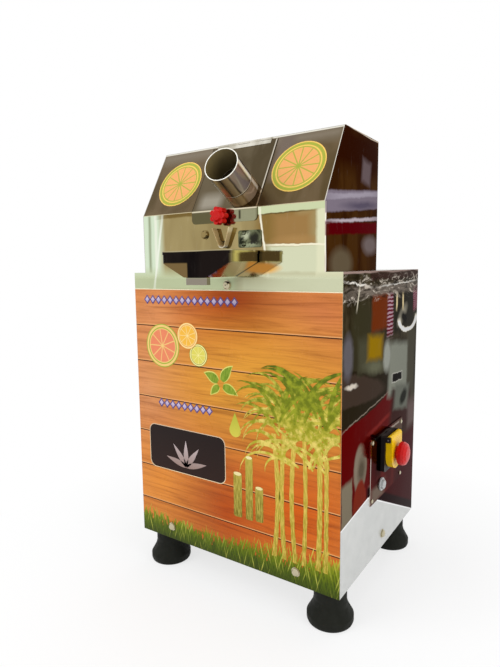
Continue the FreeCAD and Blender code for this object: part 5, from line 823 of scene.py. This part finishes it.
# Broad tones of the picture: (tone, form, middle, half size, turn, softness), in x and z.
LIGHT_AND_SHADE = (
    (ink(222, 146, 90), "oval", (-190, 480), (90, 80), 0, 0.9),
    (ink(222, 156, 104), "oval", (-200, 290), (70, 130), 0, 0.9),
    (ink(226, 142, 56), "oval", (-170, 120), (90, 90), 0, 0.9),
    (ink(176, 68, 10), "oval", (10, 500), (84, 60), 0, 0.9),
    (ink(212, 130, 76), "oval", (190, 480), (70, 60), 0, 0.9),
    (ink(170, 70, 12), "oval", (0, 96), (84, 90), 0, 0.9),
    (ink(208, 94, 10), "oval", (150, 130), (110, 110), 0, 0.9),
    (ink(232, 170, 58), "oval", GLOW_PLACE, (150, 84), 0, 0.9),
)
wood = skin.mirrored(ink(214, 136, 62), skin_x, skin_z, LIGHT_AND_SHADE)
wood = skin.mix(skin.span(seed, 0.0, 1.0, 0.0, 0.25), wood, ink(180, 84, 20))
streaks = skin.ramp(grain(190.0, 9.0, 5.0, 0.8), [
    (0.28, (0.55, 0.48, 0.42, 1)), (0.44, (0.82, 0.78, 0.74, 1)),
    (0.56, (0.95, 0.94, 0.92, 1)), (0.72, (1, 1, 1, 1))])
wood = skin.mix(1.0, wood, streaks, "MULTIPLY")
fine = grain(70.0, 1.6, 3.0, 0.0)
wood = skin.mix(skin.span(fine, 0.56, 0.78, 0.0, 0.4), wood, ink(126, 56, 16))
wood = skin.mix(skin.within(in_board, JOINT, 2.0 * JOINT, 0.5), wood, ink(226, 164, 104))
wood = skin.mix(skin.span(in_board, JOINT - 0.3, JOINT + 0.5, 1.0, 0.0), wood, ink(52, 20, 8))


def blade_noise(lean, width, length):
    """Noise squeezed into upright blades that lean to one side."""
    node = skin.tree.nodes.new("ShaderNodeCombineXYZ")
    leaned = skin.maths("MULTIPLY_ADD", skin_z, lean, skin_x)
    skin.link(skin.maths("DIVIDE", leaned, width), node.inputs["X"])
    skin.link(skin.maths("DIVIDE", skin_z, length), node.inputs["Y"])
    return skin.noise(1.0, 2.0, 0.5, node.outputs["Vector"])


blades = skin.maths("MAXIMUM", blade_noise(0.22, 3.1, 70.0), blade_noise(-0.3, 3.9, 60.0))
swell = skin.noise(1.0, 1.0, 0.4, skin.vector("SCALE", skin.place, 14.0))
taller_right = skin.span(skin_x, 40, 225, 0.0, 24.0)
tall = skin.maths("ADD", skin.maths("MULTIPLY_ADD", swell, 44.0, 12.0), taller_right)
reach_up = skin.maths("MULTIPLY_ADD", skin.maths("SUBTRACT", blades, 0.5), 130.0, tall)
grass_mask = skin.span(skin.maths("SUBTRACT", reach_up, skin_z), -0.8, 1.2)
grass_tone = skin.ramp(skin.span(skin.maths("MULTIPLY_ADD", blades, 26.0, skin_z), 8.0, 95.0), [
    (0.0, ink(50, 62, 8)), (0.3, ink(78, 96, 6)), (0.6, ink(116, 130, 6)), (0.95, ink(196, 184, 56))])
grass_tone = skin.mix(skin.span(blades, 0.42, 0.56, 0.5, 0.0), grass_tone, ink(36, 46, 6))
grass_tone = skin.mix(skin.span(blades, 0.62, 0.72, 0.0, 0.7), grass_tone, ink(206, 200, 92))
picture = skin.mix(grass_mask, wood, grass_tone)
picture = skin.mix(skin.span(skin_z, PRINT_TOP - 1.6, PRINT_TOP - 1.2), picture, ink(236, 226, 196))
skin.set("Base Color", picture)
skin.set("Roughness", skin.span(skin.noise(30.0, 4.0), 0.3, 0.75, 0.22, 0.42))
skin.relief(skin.noise(9.0, 2.0), 0.12, 0.002)
dress(skin, "front_print")


# %% [markdown]
# ## Ink motifs
# Over the boards the skin shows a few motifs: a clump of cane with arching leaves, a sprig, slices of
# citrus, cut lengths of cane, a drop, rows of lozenges and a dark plaque with a fan of leaves. Each motif
# is a thin film cut to its outline, as overlaid vinyl is, and lies a hair above the skin.

# %% Film maker
FILM = 0.12                    # thickness of a film in millimetres


def film(name, outlines, material, origin, slot="printed_skin", up=Vector((0, 0, 1)), out=Vector((0, -1, 0))):
    """Thin cut-outs that share one material. Outlines are in millimetres from the origin, x and up."""
    shape = bmesh.new()
    for lift, outline in outlines:
        ring = [shape.verts.new(Vector((px, 0, 0)) * MM + up * pz * MM + out * lift * MM)
                for px, pz in outline]
        back = [shape.verts.new(corner.co - out * FILM * MM) for corner in ring]
        shape.faces.new(ring)
        count = len(ring)
        for index in range(count):
            after = (index + 1) % count
            shape.faces.new((ring[index], back[index], back[after], ring[after]))
        shape.faces.new(list(reversed(back)))
    bmesh.ops.recalc_face_normals(shape, faces=shape.faces[:])
    bmesh.ops.triangulate(shape, faces=[face for face in shape.faces if len(face.verts) > 4])
    mesh = bpy.data.meshes.new(name)
    shape.to_mesh(mesh)
    shape.free()
    mesh.materials.append(material)
    piece = bpy.data.objects.new(name, mesh)
    piece.location = origin
    bpy.context.scene.collection.objects.link(piece)
    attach(piece, "frame")
    return piece


def blade(start, aim, length, width, droop, steps=9):
    """Outline of a leaf: it leaves start at an angle from upright and bends by droop along its length."""
    px, pz = start
    left, right = [], []
    for step in range(steps + 1):
        share = step / steps
        angle = math.radians(aim + droop * share ** 1.5)
        half = width / 2 * (math.sin(math.pi * (0.1 + 0.9 * share) ** 0.8) if share < 1 else 0.0)
        side_x, side_z = math.cos(angle) * half, -math.sin(angle) * half
        left.append((px - side_x, pz - side_z))
        right.append((px + side_x, pz + side_z))
        px += math.sin(angle) * length / steps
        pz += math.cos(angle) * length / steps
    return left + right[-2::-1]


def disc(radius, points=40):
    """Outline of a circle round the origin."""
    return [(radius * math.cos(2 * math.pi * k / points),
             radius * math.sin(2 * math.pi * k / points)) for k in range(points)]


def rounded_box(half_x, half_z, radius, steps=6):
    """Outline of a box with rounded corners."""
    outline = []
    for cx, cz, first in ((half_x - radius, half_z - radius, 0), (radius - half_x, half_z - radius, 90),
                          (radius - half_x, radius - half_z, 180), (half_x - radius, radius - half_z, 270)):
        for step in range(steps + 1):
            angle = math.radians(first + 90 * step / steps)
            outline.append((cx + radius * math.cos(angle), cz + radius * math.sin(angle)))
    return outline


def ink_finish(name, low_tone, high_tone, z_low, z_high, streak=None, squeeze=(420.0, 1.0, 60.0)):
    """Ink that changes tone with height above the motif's origin, with soft lengthwise streaks."""
    finish = Finish(name, high_tone, 0.34, gloss=INK_GLOSS)
    across, back, up = finish.ruler(Vector((0, 0, 0)))
    tone = finish.mix(finish.span(up, z_low, z_high), low_tone, high_tone)
    if streak:
        marks = finish.noise(1.0, 3.0, 0.6, finish.stretched(squeeze))
        tone = finish.mix(finish.span(marks, 0.42, 0.62, 0.0, 0.75), tone, streak)
    finish.set("Base Color", tone)
    finish.set("Roughness", finish.span(finish.noise(30.0, 4.0), 0.3, 0.75, 0.26, 0.42))
    finish.relief(finish.noise(60.0, 2.0), 0.05, 0.0004)
    return finish


# %% [markdown]
# The cane clump fills the right third. Six jointed stalks stand in the grass, and from their tops three
# layers of leaves arch out and hang down. The oldest leaves hang lowest and are the yellowest.

# %% Cane clump
random.seed(11)
CLUMP_X = 150                  # the clump's middle, right of the sheet's
CLUMP = spot(CLUMP_X, PRINT_FACE, 0)
LEFT_LIMIT = -HALF_WIDTH - CLUMP_X + 4
RIGHT_LIMIT = HALF_WIDTH - CLUMP_X - 1.5
STALK_FOOT = 40                # the stalks start here, down in the grass
STALK_STEPS = 12


def inside_skin(outline):
    """Keep an outline on the printed skin."""
    return [(min(max(px, LEFT_LIMIT), RIGHT_LIMIT), pz) for px, pz in outline]


stalk_ink = ink_finish("cane_ink", ink(150, 138, 30), ink(190, 166, 60), 40, 260, ink(226, 196, 96))
stalks = []
for index in range(6):
    foot_x = -48 + index * 21 + random.uniform(-4, 4)
    height = 225 + random.uniform(-26, 30)
    bow = random.uniform(-9, 9)
    half = 3.4 + random.uniform(0, 1.2)
    left, right = [], []
    for step in range(STALK_STEPS + 1):
        share = step / STALK_STEPS
        thick = half * (1.25 if step % 2 == 0 else 1.0)
        middle = foot_x + bow * math.sin(math.pi * share)
        left.append((middle - thick, STALK_FOOT + height * share))
        right.append((middle + thick, STALK_FOOT + height * share))
    stalks.append((0.2, inside_skin(left + right[::-1])))
film("cane_stalks", stalks, stalk_ink.material, CLUMP)
LEAF_LAYERS = (
    # name, count, ink, height of the roots, steepest aim, droop, length, width
    ("low", 40, ("hanging_leaf_ink", ink(226, 200, 76), ink(146, 146, 24), 120, 290, ink(238, 214, 116)),
     (212, 292), 70, (110, 160), (90, 150), (5.0, 8.0)),
    ("middle", 30, ("middle_leaf_ink", ink(196, 182, 44), ink(112, 124, 18), 180, 330, ink(212, 196, 80)),
     (262, 318), 55, (90, 140), (90, 140), (5.5, 8.5)),
    ("top", 20, ("young_leaf_ink", ink(120, 126, 14), ink(78, 98, 16), 280, 400, ink(158, 164, 40)),
     (290, 322), 48, (60, 120), (90, 140), (6.0, 9.0)),
)
for order, (layer, count, leaf_ink, roots, steepest, droops, lengths, widths) in enumerate(LEAF_LAYERS):
    leaves = []
    for index in range(count):
        top = (random.uniform(-44, 58), random.uniform(*roots))
        side = -1 if random.random() < 0.5 + top[0] / 300 else 1
        outline = blade(top, side * random.uniform(4, steepest), random.uniform(*lengths),
                        random.uniform(*widths), side * random.uniform(*droops))
        leaves.append((0.3 + 0.15 * order + 0.003 * index, inside_skin(outline)))
    film("cane_leaves_" + layer, leaves, ink_finish(*leaf_ink, (70.0, 1.0, 70.0)).material, CLUMP)


# %% [markdown]
# A slice of citrus is a disc whose ink depends on two numbers: how far from its centre a point lies and
# at which angle. A thin rind, pale pith and flesh split into segments come from those. The two round
# stickers on the hood are made the same way.

# %% Citrus slices and stickers
FULL_TURN = 6.28               # radians


def slice_finish(name, radius, rind, ring, flesh, core, segments, lean=None):
    """Rind outside, then a ring, flesh cut into segments and a core; lean is a leaning slice's rise."""
    finish = Finish(name, flesh, 0.32, gloss=INK_GLOSS)
    across, back, up = finish.ruler(Vector((0, 0, 0)))
    if lean is not None:
        up = finish.maths("DIVIDE", up, lean)
    far = finish.maths("DIVIDE", finish.maths("SQRT", finish.maths(
        "ADD", finish.maths("MULTIPLY", across, across), finish.maths("MULTIPLY", up, up))), radius)
    turned = finish.span(finish.maths("ARCTAN2", up, across), -math.pi, math.pi, 0.0, float(segments))
    seam = finish.maths("ABSOLUTE", finish.maths("SUBTRACT", finish.maths("FRACT", turned), 0.5))
    arc = finish.maths("MULTIPLY", far, FULL_TURN / segments)
    seam_wide = finish.maths("MULTIPLY", finish.maths("SUBTRACT", 0.5, seam), arc)
    pulp = finish.mix(finish.noise(1.0, 3.0, 0.6, finish.stretched((900.0, 900.0, 900.0))), flesh, core)
    tone = finish.mix(finish.span(seam_wide, 0.012, 0.03, 1.0, 0.0), pulp, ring)
    tone = finish.mix(finish.span(far, 0.74, 0.77), tone, ring)
    tone = finish.mix(finish.within(far, 0.80, 0.85, 0.012), tone, rind)
    tone = finish.mix(finish.span(far, 0.95, 0.965), tone, rind)
    finish.set("Base Color", finish.mix(finish.span(far, 0.05, 0.1, 1.0, 0.0), tone, ring))
    finish.set("Roughness", finish.span(finish.noise(30.0, 4.0), 0.3, 0.75, 0.26, 0.42))
    return finish


def slice_of_fruit(name, right, height, radius, lift, *tones):
    """A round film on the skin with a slice's ink."""
    film(name, [(lift, disc(radius))], slice_finish(name + "_ink", radius, *tones).material,
         spot(right, PRINT_FACE, height))


LEAF_GREEN = ink(150, 168, 50)
PINK = ink(214, 110, 84)
slice_of_fruit("pink_slice", -158, 408, 44, 0.2, LEAF_GREEN, ink(232, 196, 120), PINK, ink(236, 150, 104), 9)
slice_of_fruit("lime_slice", -66, 396, 22, 0.2, ink(120, 132, 30), ink(236, 226, 150), ink(206, 196, 70),
               ink(224, 214, 110), 8)
slice_of_fruit("orange_slice", -92, 432, 26, 0.4, ink(222, 140, 30), ink(240, 214, 150), ink(232, 168, 48),
               ink(240, 190, 80), 9)


def hood_place(across, height):
    """A place on the hood's face at a height above the cabinet's lower edge."""
    share = (height - KINK) / (RIDGE - KINK)
    return spot(across, RIDGE_BACK * share, height)


STICKER_RADIUS = 51.0
sticker = slice_finish("hood_sticker_ink", STICKER_RADIUS, ink(232, 190, 96), ink(158, 164, 60),
                       ink(214, 138, 92), ink(236, 182, 104), 12, lean=SLOPE.z)
film("left_hood_sticker", [(0.2, disc(STICKER_RADIUS, 56))], sticker.material, hood_place(-130, 725),
     up=SLOPE, out=OUTWARD)
film("right_hood_sticker", [(0.2, disc(STICKER_RADIUS, 56))], sticker.material, hood_place(131, 730),
     up=SLOPE, out=OUTWARD)


# %% [markdown]
# The last motifs are a dark plaque with a pale line round it and a fan of five leaves on it, two rows of
# small lozenges, a sprig of broad leaves, three cut lengths of cane and a drop of juice.

# %% Plaque, lozenges, sprig, cut cane and drop
dark_ink = ink_finish("plaque_ink", ink(40, 22, 16), ink(30, 18, 16), -40, 40)
pale_ink = ink_finish("pale_line_ink", ink(226, 206, 170), ink(214, 190, 160), -40, 40)
PLAQUE = spot(-104, PRINT_FACE, 196)
film("plaque_line", [(0.2, rounded_box(98.5, 46.5, 15))], pale_ink.material, PLAQUE)
film("plaque", [(0.3, rounded_box(97, 45, 14))], dark_ink.material, PLAQUE)
film("plaque_fan", [(0.4, blade((0, -30), aim, 54, 12, 0)) for aim in (-76, -38, 0, 38, 76)],
     ink_finish("plaque_fan_ink", ink(150, 126, 118), ink(198, 186, 190), -30, 40).material, PLAQUE)
lilac = ink_finish("lilac_ink", ink(150, 140, 190), ink(214, 196, 206), -7, 7)
violet = ink_finish("violet_ink", ink(84, 66, 116), ink(96, 84, 140), -10, 10)
LOZENGE_STEP = 15.5
for row, (row_z, count, first) in enumerate(((500, 15, -196), (290, 9, -166))):
    big, small = [], []
    for index in range(count):
        cx = first + index * LOZENGE_STEP
        big.append((0.2, [(cx - 8.4, 0), (cx, -9.5), (cx + 8.4, 0), (cx, 9.5)]))
        small.append((0.32, [(cx - 5.2, 0), (cx, -6), (cx + 5.2, 0), (cx, 6)]))
    film("lozenge_edge_%d" % (row + 1), big, violet.material, spot(0, PRINT_FACE, row_z))
    film("lozenge_%d" % (row + 1), small, lilac.material, spot(0, PRINT_FACE, row_z))
leaf_edge = ink_finish("sprig_edge_ink", ink(206, 200, 96), ink(214, 210, 110), -40, 40)
leaf_fill = ink_finish("sprig_ink", ink(122, 146, 34), ink(92, 128, 30), -40, 40, ink(150, 170, 60))
sprig = [((-6, 0), -58, 34, 17, -24), ((4, 2), 28, 38, 17, 30), ((6, -8), 104, 34, 16, 24),
         ((-4, -8), -128, 26, 13, -20)]
SPRIG = spot(-14, PRINT_FACE, 350)
film("sprig_edges", [(0.2, blade(start, aim, length + 3, width + 4, bend, 12))
                     for start, aim, length, width, bend in sprig], leaf_edge.material, SPRIG)
film("sprig_leaves", [(0.32, blade(start, aim, length, width, bend, 12))
                      for start, aim, length, width, bend in sprig], leaf_fill.material, SPRIG)
cut_ink = ink_finish("cut_cane_ink", ink(112, 104, 24), ink(176, 160, 60), -60, 60, ink(196, 180, 84))
cut_end = ink_finish("cut_end_ink", ink(222, 206, 140), ink(236, 224, 168), -60, 60)
cuts = ((22, 138, 9.5, 44), (48, 156, 8.0, 62), (70, 130, 8.5, 34))
CUTS_Z = 160                   # height that the cut lengths are drawn from
CUTS = spot(0, PRINT_FACE, CUTS_Z)
film("cut_cane", [(0.25, [(px + cx, pz + cz - CUTS_Z) for px, pz in rounded_box(half_x, half_z, 4)])
                  for cx, cz, half_x, half_z in cuts], cut_ink.material, CUTS)
film("cut_cane_ends", [(0.38, [(cx + px, cz + half_z - CUTS_Z - 3 + pz * 0.42)
                               for px, pz in disc(half_x - 1, 20)])
                       for cx, cz, half_x, half_z in cuts], cut_end.material, CUTS)
DROP_RADIUS = 13
drop_angles = [math.radians(angle) for angle in range(28, -209, -14)]
drop = [(0, 34)] + [(DROP_RADIUS * math.cos(angle), DROP_RADIUS * math.sin(angle)) for angle in drop_angles]
drop_ink = ink_finish("drop_ink", ink(206, 196, 76), ink(170, 176, 56), -14, 34)
film("juice_drop", [(0.2, drop)], drop_ink.material, spot(18, PRINT_FACE, 262))
print("motifs laid on the skin")


# %% [markdown]
# ## Inner steel, castings, rubber and plastics
# Pieces that are rarely seen get quieter finishes: turned steel for rollers and bars, oiled iron for
# gears and pulleys, paint on the motor. The controls are moulded in bright plastic, and the feet are
# black rubber with a dusty bloom. The bolt on the head takes a painted reflection, dimmer than the
# tone of those lower down.

# %% Other finishes
def simple(name, colour, rough, metal=0.0, speckle=60.0, depth=0.15, gloss=0.5):
    """A finish with a little drift in colour and roughness and a fine grain."""
    finish = Finish(name, colour, rough, metal, gloss)
    drift = finish.noise(12.0, 3.0)
    darker = tuple(0.74 * part for part in colour[:3]) + (1.0,)
    finish.set("Base Color", finish.mix(drift, darker, colour))
    finish.set("Roughness", finish.span(finish.noise(speckle, 3.0), 0.3, 0.7, rough * 0.8,
                                        min(1.0, rough * 1.25)))
    finish.relief(finish.noise(speckle * 6, 2.0), depth, 0.0004)
    return finish


dress(simple("machined_steel", ink(190, 190, 186), 0.32, 1.0), "base_pan", "inner_frame", "juice_pan",
      "tray_strainer", "feed_chute", "waste_chute", "roller_plates", "tie_bars", "scrapers", "hinge_pin",
      "knob_stud", "tray_pins", "output_shaft", "top_roller", "front_roller", "rear_roller", "switch_pin")
dress(simple("oiled_iron", ink(86, 86, 88), 0.45, 0.9), "top_gear", "front_gear", "rear_gear",
      "roller_pulley", "output_pulley", "roller_bearings")
dress(simple("motor_paint", ink(58, 84, 108), 0.4), "motor_body", "gearbox_housing", "fan_cowl",
      "terminal_box")
bolt_chrome = simple("bolt_chrome", ink(204, 194, 164), 0.2, 1.0)
bolt_tone = bolt_chrome.shader.inputs["Base Color"].links[0].from_socket
# a painted reflection: the bolt on the head is dimmer than those lower down
on_head = bolt_chrome.span(bolt_chrome.ruler()[2], DECK + 20, DECK + 30)
bolt_chrome.set("Base Color", bolt_chrome.mix(on_head, bolt_tone, ink(150, 130, 84)))
dress(bolt_chrome, "foot_bolts", "panel_bolts", "plate_screws")
dress(simple("foot_rubber", ink(31, 32, 27), 0.6, 0.0, 90.0, 0.4, gloss=0.12), "rubber_feet", "drive_belt")
dress(simple("black_plastic", ink(26, 22, 22), 0.42, gloss=0.2), "switch_base", "cable_gland")
dress(simple("red_plastic", ink(206, 14, 10), 0.3, gloss=0.25), "door_knob", "stop_button")
dress(simple("yellow_plastic", ink(250, 202, 8), 0.3, gloss=0.2), "switch_cover")
dress(simple("green_plastic", ink(30, 140, 60), 0.3), "start_button")
dress(simple("grey_plastic", ink(176, 178, 178), 0.3), "reset_button", "reset_collar")


# %% [markdown]
# ## Soft edges
# No cut sheet has a razor edge. A narrow bevel on the outer pieces gives each fold and rim the thin
# bright line that a polished edge has.

# %% Bevels
EDGE_WIDTHS = {0.35: ("front_panel", "head_front", "hood_panel", "head_top", "head_left_cheek",
                      "head_right_cheek", "right_side_panel", "left_side_panel", "feed_door", "feed_tube",
                      "juice_tray", "juice_spout", "access_plate", "control_plate", "top_deck"),
               0.6: ("door_knob", "switch_base", "switch_cover", "stop_button", "panel_bolts")}
for width, names in EDGE_WIDTHS.items():
    for name in names:
        bevel = nodes[name].modifiers.new("edge", "BEVEL")
        bevel.width = width * MM
        bevel.segments = 2
        bevel.limit_method = "ANGLE"
        bevel.angle_limit = math.radians(40)
        bevel.use_clamp_overlap = True
print("bevelled", sum(len(names) for names in EDGE_WIDTHS.values()), "nodes")


# %% [markdown]
# ## Closing

# %% Finish
bpy.context.view_layer.update()
